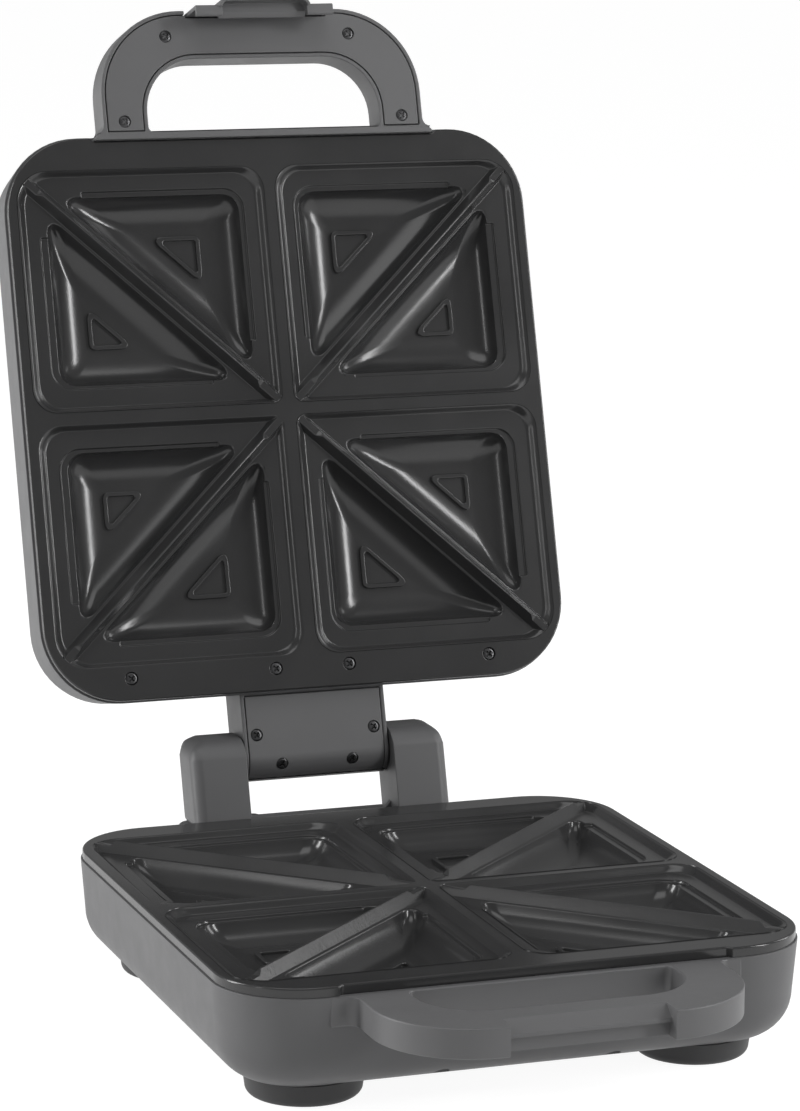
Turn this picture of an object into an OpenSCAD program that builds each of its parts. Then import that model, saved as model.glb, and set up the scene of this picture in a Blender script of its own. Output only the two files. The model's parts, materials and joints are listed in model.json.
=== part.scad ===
// Four-slice sandwich toaster with a hinged lid, in millimetres.
// X runs to the user's right, Y to the hinge, Z up. The origin is on the table,
// midway between the front of the handle and the back of the open lid.

/* [Plates] */
// Half the width of the cast plates
plate_half_w = 135; // [134:0.5:137]
// Height of the lower plate's rim above the table
rim_z = 60; // [58:0.5:64]
// Gap between the two rims when the lid is shut
rim_gap = 4.8; // [4.6:0.1:6]
// Thickness of the plate casting
cast_t = 2.6; // [2:0.1:3]
// Depth of the bread seat below the rim
seat_depth = 3.2; // [2.6:0.1:3.6]
// Depth of a filling pocket below the bread seat
pocket_depth = 12; // [9:0.5:13]
// Height of a cutting ridge above the rim
ridge_h = 2.2; // [1:0.1:2.2]

/* [Housings] */
// How far each housing stands outside its plate
housing_proud = 0.8; // [0.4:0.1:1.2]
// Depth of each housing from its seam to its flat face
housing_depth = 44.4; // [43:0.2:46]
// Radius of the long outer edge of each housing
edge_r = 20; // [16:1:22]
// Wall thickness of the housings
wall = 2.6; // [2:0.1:3.2]

/* [Handles] */
// How far the handle loops reach in front of the plates' centre
handle_front = 201.4; // [198:0.2:204]
// Half the outer width of a handle loop
handle_half_w = 83.6; // [82:0.2:86]
// Thickness of the lid's handle
lid_handle_t = 16.5; // [15:0.5:18]
// Thickness of the base's handle
base_handle_t = 13.4; // [12:0.2:15]

/* [Hinge] */
// Angle of the lid from shut, in the stored pose
lid_open = 107.15; // [0:0.05:107.15]
// Radius of the hinge shaft
shaft_r = 3; // [2.5:0.1:3.5]
// Running clearance on the hinge shaft and the latch pin
run_gap = 0.05; // [0.02:0.01:0.09]
// Half the width of the lid's hinge arm
arm_half_w = 37.5; // [36:0.5:38]

/* [Latch] */
// Half the width of the latch
latch_half_w = 35.8; // [34:0.1:36.5]
// Radius of the latch pin
latch_pin_r = 1.5; // [1.2:0.1:1.8]

/* [Feet] */
// Radius of a foot at its top
foot_r = 26.8; // [24:0.2:29]
// Height of a foot
foot_h = 10.6; // [9:0.2:12]

/* [Hidden] */
$fn = 48;

housing_c = "#6a6a6c";
handle_c = "#707072";
plate_c = "#2b2b2c";
steel_c = "#c4c6c8";
screw_c = "#8b8d8f";
rubber_c = "#454546";
ceramic_c = "#e8e4d8";
lens_c = "#c02a20";

// Outline of a plate
plate_front = 139;
plate_rear = 139.5;
plate_corner_r = 35;
skirt_h = 4.6;
notch_half_w = 88.7;
notch_depth = 2;

// Bread cells, measured from the cross centre in one quarter
cell_x = [3, 130];
cell_y = [3.1, 122.8];
cell_corners = [5, 12, 14, 12];

// Ridge line of one cell, from the web corner to the outer corner
ridge_from = [cell_x[0], cell_y[0]];
ridge_dx = cell_x[1] - cell_x[0];
ridge_dy = cell_y[1] - cell_y[0];
ridge_len = norm([ridge_dx, ridge_dy]);
ridge_a = atan2(ridge_dy, ridge_dx);
ridge_foot = 3.9;
crest_w = 0.6;
crest_start = 14.2;
crest_end = 159.6;
ridge_step = 3;

// Filling pockets
pocket_x = [15.5, 115];
pocket_y = [16.3, 110];
pocket_to_crest = 5;
centre_pad = 12;
pocket_run = 17.5;
square_corner_r = 9;
sharp_corner_r = 4.5;
ledge_depth = 1.5;
ledge_x = [12.6, 119.4];
ledge_y = [14.1, 113];
ring_inset = 19;
ring_w = 2.4;
ring_h = 1.8;

// Housings
house_half_w = plate_half_w + housing_proud;
house_front = plate_front + housing_proud;
house_rear = plate_rear + housing_proud;
house_corner_r = plate_corner_r + housing_proud;
draft = 2;
seam_h = skirt_h;
face_h = seam_h + housing_depth;
floor_z = rim_z - face_h;
seam_z = rim_z - seam_h;

// Hinge
axis_y = 170.5;
axis_z = rim_z + 22.5;
arm_r = 12;
post_inner = 38.5;
post_outer = 66;
post_lean = 17;
post_top = axis_z + 11.9;
post_depth = 27;
deck_top = seam_z - 3.4;
deck_rear = 176;
deck_half_w = 69;
deck_bottom = 27;

arm_top = axis_z + arm_r;
arm_start = house_rear - 6;
flange_y = [133.8, 135.6];
flange_out = 4;
flange_in = 1.2;
arm_wrap = 20;
arm_screw_turn = 24.6;
shaft_half_l = 61.5;
post_screw_x = [45, 58.5];
post_screw_y = 156;

// Middle of the whole depth in the stored pose
lid_arc_y = draft + edge_r - house_front - axis_y;
lid_arc_z = rim_z + rim_gap + face_h - edge_r - axis_z;
lid_back = axis_y + lid_arc_y * cos(lid_open) + lid_arc_z * sin(lid_open) + edge_r;
mid_y = (max(lid_back, deck_rear + 2) - handle_front) / 2;

// Cord outlet and lamps
gland_x = -28;
gland_z = 43;
gland_r = 6;
gland_bore_r = 3.6;
lamp_x = 11;
lamp_y = -86;

// Hook and finger tab of the latch
hook_z = rim_z - 13.7;
hook_tip_y = -195;
tab_half_w = 23.6;
tab_slant = 1.8;
tab_out = 3;
tab_h = 16;
tab_drop = 1.5;
tab_wall = 1.5;
tab_roof = 4.5;

// Handles
loop_corner_r = 43;
grip_half_w = 60.6;
grip_w = 24.4;
loop_rear = 140.4;
fillet_r = 5;
cover_lip = 2;
cover_t = 2.2;
cover_gap = 0.15;
cover_ledge = 1.5;
lid_handle_top = 2.8;
lid_handle_skin = 2.5;
strip_rear = 137.2;
strip_front = 141;
strip_half_w = 88.2;
recess_half_w = 37.2;
latch_axis_y = -193;
latch_axis_z = rim_z + 8.5;
latch_front_y = latch_axis_y - 7.5;
latch_t = 2.2;
cover_front_y = latch_front_y + latch_t + 0.7;

// Screws
screw_r = 3;
small_screw_r = 2.9;
head_h = 1.2;
head_sunk = 0.3;
well_h = 1.6;
upper_screws = [[-93.1, 128.7], [-19.1, 128.7], [19.1, 128.7], [93.1, 128.7]];
lower_screws = [[-40, 128.7], [40, 128.7], [-40, -126.7], [40, -126.7]];
boss_h = 16;
well_top = 23;
pilot_r = 1.5;
cover_screws = [[-72.6, -146.1], [-48, -188.5], [48, -188.5], [72.6, -146.1]];
arm_screw_x = [30.5, 18.3];
foot_x = 91.6;
foot_front_y = -94.3;
foot_rear_y = 98.8;

// Heating element
tube_r = 3.3;
element_x = 122.2;
element_y = 117.2;
element_h = 9.2;
element_corner_r = 20;
element_gap = 22;

end_bend_r = 8;
end_drop = 6;

// Reflector tray
tray_h = 22.5;
tray_x = [-128, 128];
tray_y = [-119.5, 121.5];
tray_rim = 9;
tray_t = 0.8;
stand_x = 70;
stand_y = 60;

// ---------- outlines and lofts ----------

// The points of an arc that rounds corner v between its neighbours p and n
function corner_arc(p, v, n, r, steps) =
    let (
        to_p = (p - v) / norm(p - v),
        to_n = (n - v) / norm(n - v),
        half = acos(to_p * to_n) / 2,
        mid = (to_p + to_n) / norm(to_p + to_n),
        c = v + mid * r / sin(half),
        s = v + to_p * r / tan(half) - c,
        e = v + to_n * r / tan(half) - c,
        a0 = atan2(s[1], s[0]),
        turn = atan2(e[1], e[0]) - a0,
        sweep = turn > 180 ? turn - 360 : turn < -180 ? turn + 360 : turn
    )
    [for (i = [0:steps - 1]) let (a = a0 + sweep * i / (steps - 1)) c + r * [cos(a), sin(a)]];

// A polygon with each corner rounded, as one list of points
function rounded(pts, radii, steps) =
    let (count = len(pts))
    [for (i = [0:count - 1])
        each corner_arc(pts[(i + count - 1) % count], pts[i], pts[(i + 1) % count],
            radii[i], steps[i])];

// Corners of a box, anticlockwise from the low corner
function box_corners(x, y) = [[x[0], y[0]], [x[1], y[0]], [x[1], y[1]], [x[0], y[1]]];

function at_height(ring, z) = [for (p = ring) [p[0], p[1], z]];

// A closed solid through rings of equal length, lowest ring first
module loft(rings) {
    count = len(rings[0]);
    last = (len(rings) - 1) * count;
    sides = [for (k = [0:len(rings) - 2]) for (i = [0:count - 1])
        let (j = (i + 1) % count, low = k * count, high = low + count)
        each [[low + i, high + i, high + j], [low + i, high + j, low + j]]];
    bottom = [[for (i = [0:count - 1]) i]];
    top = [[for (i = [count - 1:-1:0]) last + i]];
    polyhedron(points = [for (r = rings) each r], faces = concat(sides, bottom, top));
}

// Moves a part drawn about the centre of the lower plate to the origin's frame
module on_table() {
    translate([0, -mid_y, 0]) children();
}

// Places a part drawn round the rim plane, with its depth below it, in the base
module in_base() {
    on_table() translate([0, 0, rim_z]) children();
}

// Turns a part drawn in the shut position to the stored pose of the lid
module lid_pose() {
    on_table() translate([0, axis_y, axis_z]) rotate([-lid_open, 0, 0])
        translate([0, -axis_y, -axis_z]) children();
}

// Places a part drawn round the rim plane, with its depth below it, in the lid
module in_lid() {
    lid_pose() translate([0, 0, rim_z + rim_gap]) mirror([0, 0, 1]) children();
}

module four_ways() {
    for (sx = [0, 1]) for (sy = [0, 1]) mirror([sx, 0, 0]) mirror([0, sy, 0]) children();
}

module both_sides() {
    for (sx = [0, 1]) mirror([sx, 0, 0]) children();
}

// Extrudes a side view, drawn as Y and Z, evenly to both sides of X = 0
module side_profile(half_w) {
    rotate([90, 0, 90]) linear_extrude(2 * half_w, center = true) children();
}

// ---------- plates ----------

// Outline of a plate, set in by the given amount, with the step behind the handle
function plate_ring(inset) =
    let (
        w = plate_half_w - inset,
        f = -plate_front + inset,
        b = plate_rear - inset,
        n = notch_half_w - inset * 0.4,
        g = notch_depth
    )
    rounded(
        [[-w, f], [-n - g, f], [-n, f + g], [n, f + g], [n + g, f], [w, f], [w, b], [-w, b]],
        [plate_corner_r - inset, 0.8, 0.8, 0.8, 0.8, plate_corner_r - inset,
            plate_corner_r - inset, plate_corner_r - inset],
        [7, 2, 2, 2, 2, 7, 7, 7]);

function cell_ring(inset) =
    rounded(
        box_corners([cell_x[0] + inset, cell_x[1] - inset], [cell_y[0] + inset, cell_y[1] - inset]),
        [for (r = cell_corners) max(r - inset, 3)], [4, 6, 6, 6]);

// Crossing of the ridge-side edge of a pocket, moved off the ridge, with a line x or y = v
function slope_y(x, off) = ridge_from[1] + (x - ridge_from[0]) * tan(ridge_a) + off / cos(ridge_a);
function slope_x(y, off) = ridge_from[0] + (y - ridge_from[1] - off / cos(ridge_a)) / tan(ridge_a);

// Corners of the pocket on the far side of the ridge, set in by t
function far_pocket(t) =
    let (x = pocket_x[0] + t, y = pocket_y[1] - t, off = pocket_to_crest + t)
    [[x, slope_y(x, off)], [slope_x(y, off), y], [x, y]];

// Corners of the pocket on the near side of the ridge, set in by t
function near_pocket(t) =
    let (x = pocket_x[1] - t, y = pocket_y[0] + t, off = -pocket_to_crest - t)
    [[slope_x(y, off), y], [x, y], [x, slope_y(x, off)]];

function pocket_ring(near, t, steps = [5, 5, 5]) =
    let (
        sharp = max(sharp_corner_r - t * 0.2, 1.6),
        square = max(square_corner_r - t * 0.4, 2.5)
    )
    near ? rounded(near_pocket(t), [sharp, square, sharp], steps)
         : rounded(far_pocket(t), [sharp, sharp, square], steps);

// The scooped wall of a pocket: inset and depth at angle a of a quarter ellipse
function scoop(a) = [pocket_run * (1 - cos(a)), pocket_depth * sin(a)];

// The hollow of one pocket, open above the seat
module pocket_hollow(near) {
    rings = [for (a = [90:-18:0]) let (s = scoop(a))
        at_height(pocket_ring(near, s[0]), -seat_depth - s[1])];
    loft(concat(rings, [at_height(pocket_ring(near, 0), -seat_depth + 1)]));
}

// The casting round one pocket, on the hidden side of the plate
module pocket_bulge(near) {
    rings = [for (a = [90, 60, 35, 12]) let (s = scoop(a))
        at_height(pocket_ring(near, s[0] - cast_t * 0.9, [3, 3, 3]),
            -seat_depth - s[1] - cast_t)];
    loft(concat(rings, [at_height(pocket_ring(near, -cast_t * 0.9, [3, 3, 3]), -seat_depth - 1)]));
}

// The raised three-sided ring on a pocket floor
module pocket_mark(near) {
    corners = near ? near_pocket(ring_inset) : far_pocket(ring_inset);
    inner = near ? near_pocket(ring_inset + ring_w) : far_pocket(ring_inset + ring_w);
    translate([0, 0, -seat_depth - pocket_depth - 0.4]) linear_extrude(ring_h + 0.4)
        difference() {
            polygon(rounded(corners, [3.2, 3.2, 3.2], [4, 4, 4]));
            polygon(rounded(inner, [1.2, 1.2, 1.2], [3, 3, 3]));
        }
}

// The shallow ledge along the two legs of a pocket
module ledge(near) {
    corner_r = square_corner_r + 2;
    far_points = [[ledge_x[0], 34.9], [17.5, 34.9], [17.5, 108], [97, 108], [97, ledge_y[1]],
        [ledge_x[0], ledge_y[1]]];
    near_points = [[36.4, ledge_y[0]], [ledge_x[1], ledge_y[0]], [ledge_x[1], 91], [113, 91],
        [113, 18.3], [36.4, 18.3]];
    translate([0, 0, -seat_depth - ledge_depth]) linear_extrude(ledge_depth + 1)
        if (near)
            polygon(rounded(near_points, [1.4, corner_r, 1.4, 0.5, 4, 0.5], [4, 6, 4, 2, 4, 2]));
        else
            polygon(rounded(far_points, [1.4, 0.5, 4, 0.5, 1.4, corner_r], [4, 2, 4, 2, 4, 6]));
}

// The hollow of one bread cell, down to the seat
module cell_hollow() {
    levels = [[0, 0.8], [0, 0], [0.35, 1.2], [0.7, 4], [1, 4.6]];
    rings = [for (i = [4, 3, 2, 1])
        at_height(cell_ring(levels[i][1]), -seat_depth * levels[i][0])];
    loft(concat(rings, [at_height(cell_ring(0), 0.8)]));
}

// The cutting ridge, with a low run-out at each end
module ridge() {
    seat = -seat_depth - 0.4;
    run_in = 1;
    run_out = ridge_len - 5;
    translate([ridge_from[0], ridge_from[1], 0]) rotate([0, 0, ridge_a]) intersection() {
        rotate([90, 0, 90]) linear_extrude(ridge_len)
            polygon([[-ridge_foot, seat], [ridge_foot, seat], [crest_w / 2, ridge_h],
                [-crest_w / 2, ridge_h]]);
        rotate([90, 0, 0]) linear_extrude(4 * ridge_foot, center = true)
            polygon([[run_in, seat - 1], [run_out, seat - 1], [run_out, 0], [crest_end, 0],
                [crest_end - ridge_step, ridge_h], [crest_start + ridge_step, ridge_h],
                [crest_start, 0], [run_in, 0]]);
    }
}

// The whole casting with its rim plane at Z = 0 and bosses for the given screws
module plate_casting(screws) {
    pan = 1;
    difference() {
        union() {
            difference() {
                union() {
                    translate([0, 0, -skirt_h]) linear_extrude(skirt_h - 1.5)
                        polygon(plate_ring(0));
                    loft([at_height(plate_ring(0), -2), at_height(plate_ring(0), -1),
                        at_height(plate_ring(0.3), -0.3), at_height(plate_ring(1), 0)]);
                }
                translate([0, 0, -skirt_h - 1]) linear_extrude(skirt_h + 1 - cast_t)
                    polygon(plate_ring(3));
            }
            four_ways() {
                translate([0, 0, -seat_depth - cast_t]) linear_extrude(seat_depth)
                    polygon(cell_ring(-pan));
                pocket_bulge(true);
                pocket_bulge(false);
            }
            translate([0, 0, -seat_depth - cast_t]) linear_extrude(seat_depth)
                square(2 * centre_pad, center = true);
            element_bed();
            for (p = screws) translate([p[0], p[1], -boss_h]) cylinder(h = boss_h - 1, r = 5);
        }
        four_ways() {
            cell_hollow();
            ledge(true);
            ledge(false);
            pocket_hollow(true);
            pocket_hollow(false);
        }
        element_path(tube_r + run_gap);
    }
    four_ways() {
        ridge();
        pocket_mark(true);
        pocket_mark(false);
    }
}

module lower_plate() {
    color(plate_c) in_base() difference() {
        plate_casting(lower_screws);
        for (p = lower_screws) translate([p[0], p[1], -boss_h - 1]) cylinder(h = 12, r = pilot_r);
    }
}

module upper_plate() {
    color(plate_c) in_lid() difference() {
        plate_casting(upper_screws);
        for (p = upper_screws) translate([p[0], p[1], 0]) {
            translate([0, 0, -boss_h - 1]) cylinder(h = boss_h + 2, r = pilot_r + 0.2);
            translate([0, 0, -2]) cylinder(h = 3, r = screw_r + 0.2);
        }
    }
}

// ---------- heating ----------

// One straight run of the tube between two points at one depth
module tube_run(from, to, r) {
    d = to - from;
    translate([from[0], from[1], -element_h]) rotate([0, 90, atan2(d[1], d[0])])
        cylinder(h = norm(d), r = r);
}

module tube_bend(bend_r, r) {
    rotate_extrude(angle = 90) translate([bend_r, 0]) circle(r = r);
}

// The element's loop, with its two ends turned away from the plate
module element_path(r) {
    e = element_corner_r;
    x = element_x - e;
    y = element_y - e;
    tube_run([-x, -element_y], [x, -element_y], r);
    for (s = [-1, 1]) {
        tube_run([s * element_x, -y], [s * element_x, y], r);
        tube_run([s * element_gap, element_y], [s * x, element_y], r);
        translate([s * x, -y, -element_h]) rotate([0, 0, s > 0 ? 270 : 180]) tube_bend(e, r);
        translate([s * x, y, -element_h]) rotate([0, 0, s > 0 ? 0 : 90]) tube_bend(e, r);
        translate([s * element_gap, element_y, -element_h - end_bend_r])
            rotate([90, s > 0 ? -90 : 0, 0]) tube_bend(end_bend_r, r);
        translate([s * (element_gap - end_bend_r), element_y, -element_h - end_bend_r - end_drop])
            cylinder(h = end_drop, r = r);
    }
}

// The bead that the tube is pressed into
module element_bed() {
    out = 4;
    low = -element_h + 1;
    translate([0, 0, low]) linear_extrude(-1 - low) difference() {
        polygon(rounded(box_corners([-element_x - out, element_x + out],
            [-element_y - out, element_y + out]), [24, 24, 24, 24], [7, 7, 7, 7]));
        polygon(rounded(box_corners([-element_x + out, element_x - out],
            [-element_y + out, element_y - out]), [16, 16, 16, 16], [7, 7, 7, 7]));
    }
}

// The tubular element with its threaded terminal pins
module element() {
    color(steel_c) {
        element_path(tube_r);
        for (s = [-1, 1])
            translate([s * (element_gap - end_bend_r), element_y,
                -element_h - end_bend_r - end_drop - 7])
                cylinder(h = 7.5, r = 1.6);
    }
}

module lower_element() {
    in_base() element();
}

module upper_element() {
    in_lid() element();
}

// The bright tray that turns the element's heat back to the plate
module reflector() {
    outer = box_corners(tray_x, tray_y);
    inner = box_corners(tray_x + [tray_t, -tray_t], tray_y + [tray_t, -tray_t]);
    color(steel_c) translate([0, 0, -tray_h - tray_t]) difference() {
        linear_extrude(tray_rim) polygon(rounded(outer, [24, 24, 24, 24], [6, 6, 6, 6]));
        translate([0, 0, tray_t]) linear_extrude(tray_rim)
            polygon(rounded(inner, [23.2, 23.2, 23.2, 23.2], [6, 6, 6, 6]));
        for (s = [-1, 1])
            translate([s * (element_gap - end_bend_r), element_y, -1]) cylinder(h = 3, r = 4.1);
    }
}

module lower_reflector() {
    in_base() reflector();
}

module upper_reflector() {
    in_lid() reflector();
}

// A disc-shaped temperature switch against the middle of a plate
module disc_switch(h) {
    top = -seat_depth - cast_t;
    color(ceramic_c) translate([0, 0, top - h]) cylinder(h = h - 2, r = 8);
    color(steel_c) translate([0, 0, top - 2]) cylinder(h = 2, r = 9.2);
    color(steel_c) for (s = [-1, 1])
        translate([s * 5, 0, top - h - 2]) cube([0.8, 5, 6], center = true);
}

module thermal_cutout() {
    in_base() disc_switch(8);
}

module thermostat() {
    in_lid() disc_switch(10);
}

// The block that joins the supply leads to both elements
module terminal_block() {
    color(ceramic_c) on_table() translate([0, 92, floor_z + wall]) difference() {
        translate([-24, -9, 0]) cube([48, 18, 13]);
        for (x = [-16, 0, 16]) {
            translate([x, -10, 5]) rotate([-90, 0, 0]) cylinder(h = 20, r = 2);
            translate([x, 0, 5]) cylinder(h = 10, r = 1.8);
        }
        for (x = [-8, 8]) translate([x - 1, -10, 9]) cube([2, 20, 6]);
    }
}

// ---------- housings ----------

function house_ring(inset) =
    let (r = max(house_corner_r - inset, 8))
    rounded(box_corners([-house_half_w + inset, house_half_w - inset],
        [-house_front + inset, house_rear - inset]), [r, r, r, r], [7, 7, 7, 7]);

// One side of the housing's wall: the form set in by t, reaching up past the seam by rise
module house_form(t, rise) {
    r = edge_r - t;
    edge = [for (a = [0:22.5:90])
        at_height(house_ring(draft + t + r * (1 - sin(a))), -face_h + t + r * (1 - cos(a)))];
    loft(concat(edge, [at_height(house_ring(t), -seam_h + rise)]));
}

// Outline of a handle loop with the fillets at its feet
module loop_outline() {
    w = handle_half_w;
    wide = w + fillet_r + 2;
    root = -house_front + 1.4;
    loop = [[wide, root], [-wide, root], [-wide, -house_front], [-w, -house_front],
        [-w, -handle_front], [w, -handle_front], [w, -house_front], [wide, -house_front]];
    difference() {
        polygon(rounded(loop,
            [0.4, 0.4, 0.4, fillet_r, loop_corner_r, loop_corner_r, fillet_r, 0.4],
            [2, 2, 2, 6, 12, 12, 6, 2]));
        polygon(rounded(box_corners([-grip_half_w, grip_half_w],
            [-handle_front + grip_w, -loop_rear]),
            [27, 27, 3, 3], [10, 10, 4, 4]));
    }
}

// The loop without its root, set in by d
module loop_inside(d, root) {
    intersection() {
        offset(delta = -d) loop_outline();
        translate([-100, -handle_front]) square([200, handle_front - root]);
    }
}

// A square cross wall in the handle at x
module cross_rib(x) {
    translate([x - 0.8, -handle_front]) square([1.6, 80]);
}

// The front loop of the base, hollow below, with the step that the latch grips
module base_handle() {
    low = -seam_h - base_handle_t;
    cam = [[-190, -seam_h + 1], [-190, -seam_h], [-197, -9.5], [-197, -11.2], [-193.5, -11.2],
        [-193.5, low - 1], [-206, low - 1], [-206, -seam_h + 1]];
    difference() {
        translate([0, 0, low]) linear_extrude(base_handle_t) loop_outline();
        translate([0, 0, low - 1]) linear_extrude(base_handle_t - wall + 1) difference() {
            loop_inside(wall, strip_front - 1);
            for (x = [-74, -52, -20, 0, 20, 52, 74]) cross_rib(x);
            translate([-recess_half_w - wall, -handle_front])
                square([2 * (recess_half_w + wall), handle_front - 188]);
        }
        side_profile(recess_half_w) polygon(cam);
    }
}

// A slot with round ends that lets warm air out of the base
module vent_slot() {
    square([3, 44], center = true);
    for (y = [-22, 22]) translate([0, y]) circle(r = 1.5);
}

// The rear deck of the base, which carries the two hinge posts
module deck_form(t) {
    steps = [[deck_bottom + t, 8], [deck_bottom + 5 + t, 2.5], [deck_bottom + 11, 0],
        [deck_top - 1.5 - t, 0], [deck_top - t, 1.2]];
    rings = [for (s = steps) let (i = s[1] + t)
        at_height(rounded(box_corners([-deck_half_w + i, deck_half_w - i],
            [house_rear - 6, deck_rear - i]), [2, 2, 9, 9], [2, 2, 5, 5]), s[0] - rim_z)];
    loft(rings);
}

// Screw tower from the housing's floor to a boss of the plate
module tower(p, r, top) {
    translate([p[0], p[1], -face_h + 1]) cylinder(h = face_h - 1 - top, r = r);
}

module stand_posts() {
    for (x = [-stand_x, stand_x]) for (y = [-stand_y, stand_y])
        tower([x, y], 4, tray_h + tray_t);
}

module foot_places() {
    for (s = [-1, 1]) for (y = [foot_front_y, foot_rear_y]) translate([s * foot_x, y, 0])
        children();
}

module lower_housing() {
    color(housing_c) in_base() difference() {
        union() {
            difference() {
                union() {
                    house_form(0, 0);
                    deck_form(0);
                }
                house_form(wall, 1);
                deck_form(wall);
                translate([-50, house_rear - 8, deck_bottom + 6 - rim_z]) cube([100, 9, 12]);
            }
            base_handle();
            intersection() {
                house_form(0, 0);
                union() {
                    for (p = lower_screws) tower(p, 6, boss_h);
                    stand_posts();
                }
            }
            foot_places() translate([0, 0, foot_h - rim_z]) {
                cylinder(h = 3.4, r = foot_r - 0.4);
                cylinder(h = 14, r = 5);
            }
        }
        for (p = lower_screws) translate([p[0], p[1], -face_h - 1]) {
            cylinder(h = face_h + 1 - well_top, r = screw_r + 0.5);
            cylinder(h = face_h, r = pilot_r + 0.2);
        }
        foot_places() translate([0, 0, foot_h - rim_z - 1]) cylinder(h = 12, r = pilot_r);
        for (x = [-32:8:32]) translate([x, 0, -face_h - 1]) linear_extrude(wall + 2) vent_slot();
        translate([gland_x, deck_rear + 1, gland_z - rim_z]) rotate([90, 0, 0])
            cylinder(h = wall + 3, r = gland_r + 0.1);
        both_sides() for (x = post_screw_x) translate([x, post_screw_y, deck_top - rim_z - 4])
            cylinder(h = 5, r = pilot_r + 0.2);
    }
}

module cord_gland() {
    color(rubber_c) on_table() translate([gland_x, deck_rear + 2, gland_z]) rotate([90, 0, 0])
        difference() {
            union() {
                cylinder(h = 2, r = gland_r + 3);
                cylinder(h = wall + 6, r = gland_r);
            }
            translate([0, 0, -1]) cylinder(h = wall + 8, r = gland_bore_r);
        }
}

// A disc foot with a deep seat for its screw
module foot() {
    low = foot_r - 2;
    color(rubber_c) difference() {
        rotate_extrude() polygon(concat([[0, 0]],
            corner_arc([0, 0], [low, 0], [foot_r, foot_h], 4, 6),
            corner_arc([low, 0], [foot_r, foot_h], [0, foot_h], 0.4, 2), [[0, foot_h]]));
        translate([0, 0, -1]) cylinder(h = 7, r = 6);
        cylinder(h = foot_h + 1, r = pilot_r + 0.3);
    }
}

module foot_front_left() {
    on_table() translate([-foot_x, foot_front_y, 0]) foot();
}

module foot_front_right() {
    on_table() translate([foot_x, foot_front_y, 0]) foot();
}

module foot_rear_left() {
    on_table() translate([-foot_x, foot_rear_y, 0]) foot();
}

module foot_rear_right() {
    on_table() translate([foot_x, foot_rear_y, 0]) foot();
}

// The lid's handle: a trough that the cover closes, with a seat for the latch
module lid_handle() {
    top = lid_handle_top;
    low = top - lid_handle_t;
    floor_top = low + lid_handle_skin;
    ledge_top = top - cover_t;
    pocket_y = latch_axis_y + 4.5;
    difference() {
        union() {
            difference() {
                union() {
                    difference() {
                        translate([0, 0, low]) linear_extrude(lid_handle_t) loop_outline();
                        translate([-100, -plate_front - 0.2, -skirt_h - 0.2]) cube([200, 5, 10]);
                    }
                    translate([0, 0, -skirt_h]) linear_extrude(top + skirt_h)
                        polygon([[-strip_half_w, -strip_rear], [-strip_half_w, -strip_front + 2.5],
                            [-strip_half_w + 2.5, -strip_front], [strip_half_w - 2.5, -strip_front],
                            [strip_half_w, -strip_front + 2.5], [strip_half_w, -strip_rear]]);
                }
                translate([0, 0, ledge_top]) linear_extrude(10) loop_inside(cover_lip, strip_front);
                translate([0, 0, floor_top]) linear_extrude(10)
                    loop_inside(cover_lip + cover_ledge, strip_front + 1);
            }
            translate([0, 0, low + 1]) linear_extrude(ledge_top - low - 1) intersection() {
                offset(delta = -1) loop_outline();
                translate([-recess_half_w - 5, -handle_front])
                    square([2 * (recess_half_w + 5), pocket_y + 2 + handle_front]);
            }
            for (p = cover_screws) translate([p[0], p[1], low + 1])
                cylinder(h = ledge_top - low - 1, r = 4);
        }
        translate([-recess_half_w, -handle_front - 2, floor_top])
            cube([2 * recess_half_w, pocket_y + handle_front + 2, 30]);
        translate([-41.2, latch_axis_y, rim_z + rim_gap - latch_axis_z]) rotate([0, 90, 0])
            cylinder(h = 82.4, r = latch_pin_r + 0.02);
        for (p = cover_screws) translate([p[0], p[1], floor_top]) cylinder(h = 20, r = pilot_r);
    }
}

module upper_housing() {
    color(housing_c) in_lid() difference() {
        union() {
            difference() {
                house_form(0, 0);
                house_form(wall, 1);
            }
            lid_handle();
            intersection() {
                house_form(0, 0);
                union() {
                    for (p = upper_screws) tower(p, 5, boss_h);
                    stand_posts();
                    for (x = [-20, 20]) tower([x, lamp_y], 2.5, face_h - 8);
                }
            }
        }
        for (p = upper_screws) translate([p[0], p[1], -30]) cylinder(h = 20, r = pilot_r);
        for (x = [-lamp_x, lamp_x]) translate([x, lamp_y, -face_h - 1]) cylinder(h = wall + 2, r = 4);
        translate([-arm_half_w, house_rear - 6, rim_z + rim_gap - arm_top])
            cube([2 * arm_half_w, 12, 2 * arm_r]);
    }
}

// A round indicator lens that snaps into the lid's top
module lamp_lens(x) {
    color(lens_c) in_lid() translate([x, lamp_y, -face_h]) {
        mirror([0, 0, 1]) rotate_extrude() polygon([[0, 0], [5, 0], [5, 0.5], [4.2, 1.1],
            [2.4, 1.6], [0, 1.8]]);
        cylinder(h = 8, r = 3.9);
    }
}

module power_lamp_lens() {
    lamp_lens(-lamp_x);
}

module ready_lamp_lens() {
    lamp_lens(lamp_x);
}

// The strip under the lenses with its two lamps
module lamp_holder() {
    color(ceramic_c) in_lid() translate([0, lamp_y, -face_h + 8]) {
        translate([-25, -6, 0]) cube([50, 12, 1.6]);
        for (x = [-lamp_x, lamp_x]) translate([x, 0, 1]) cylinder(h = 5, r = 3);
    }
}

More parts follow.
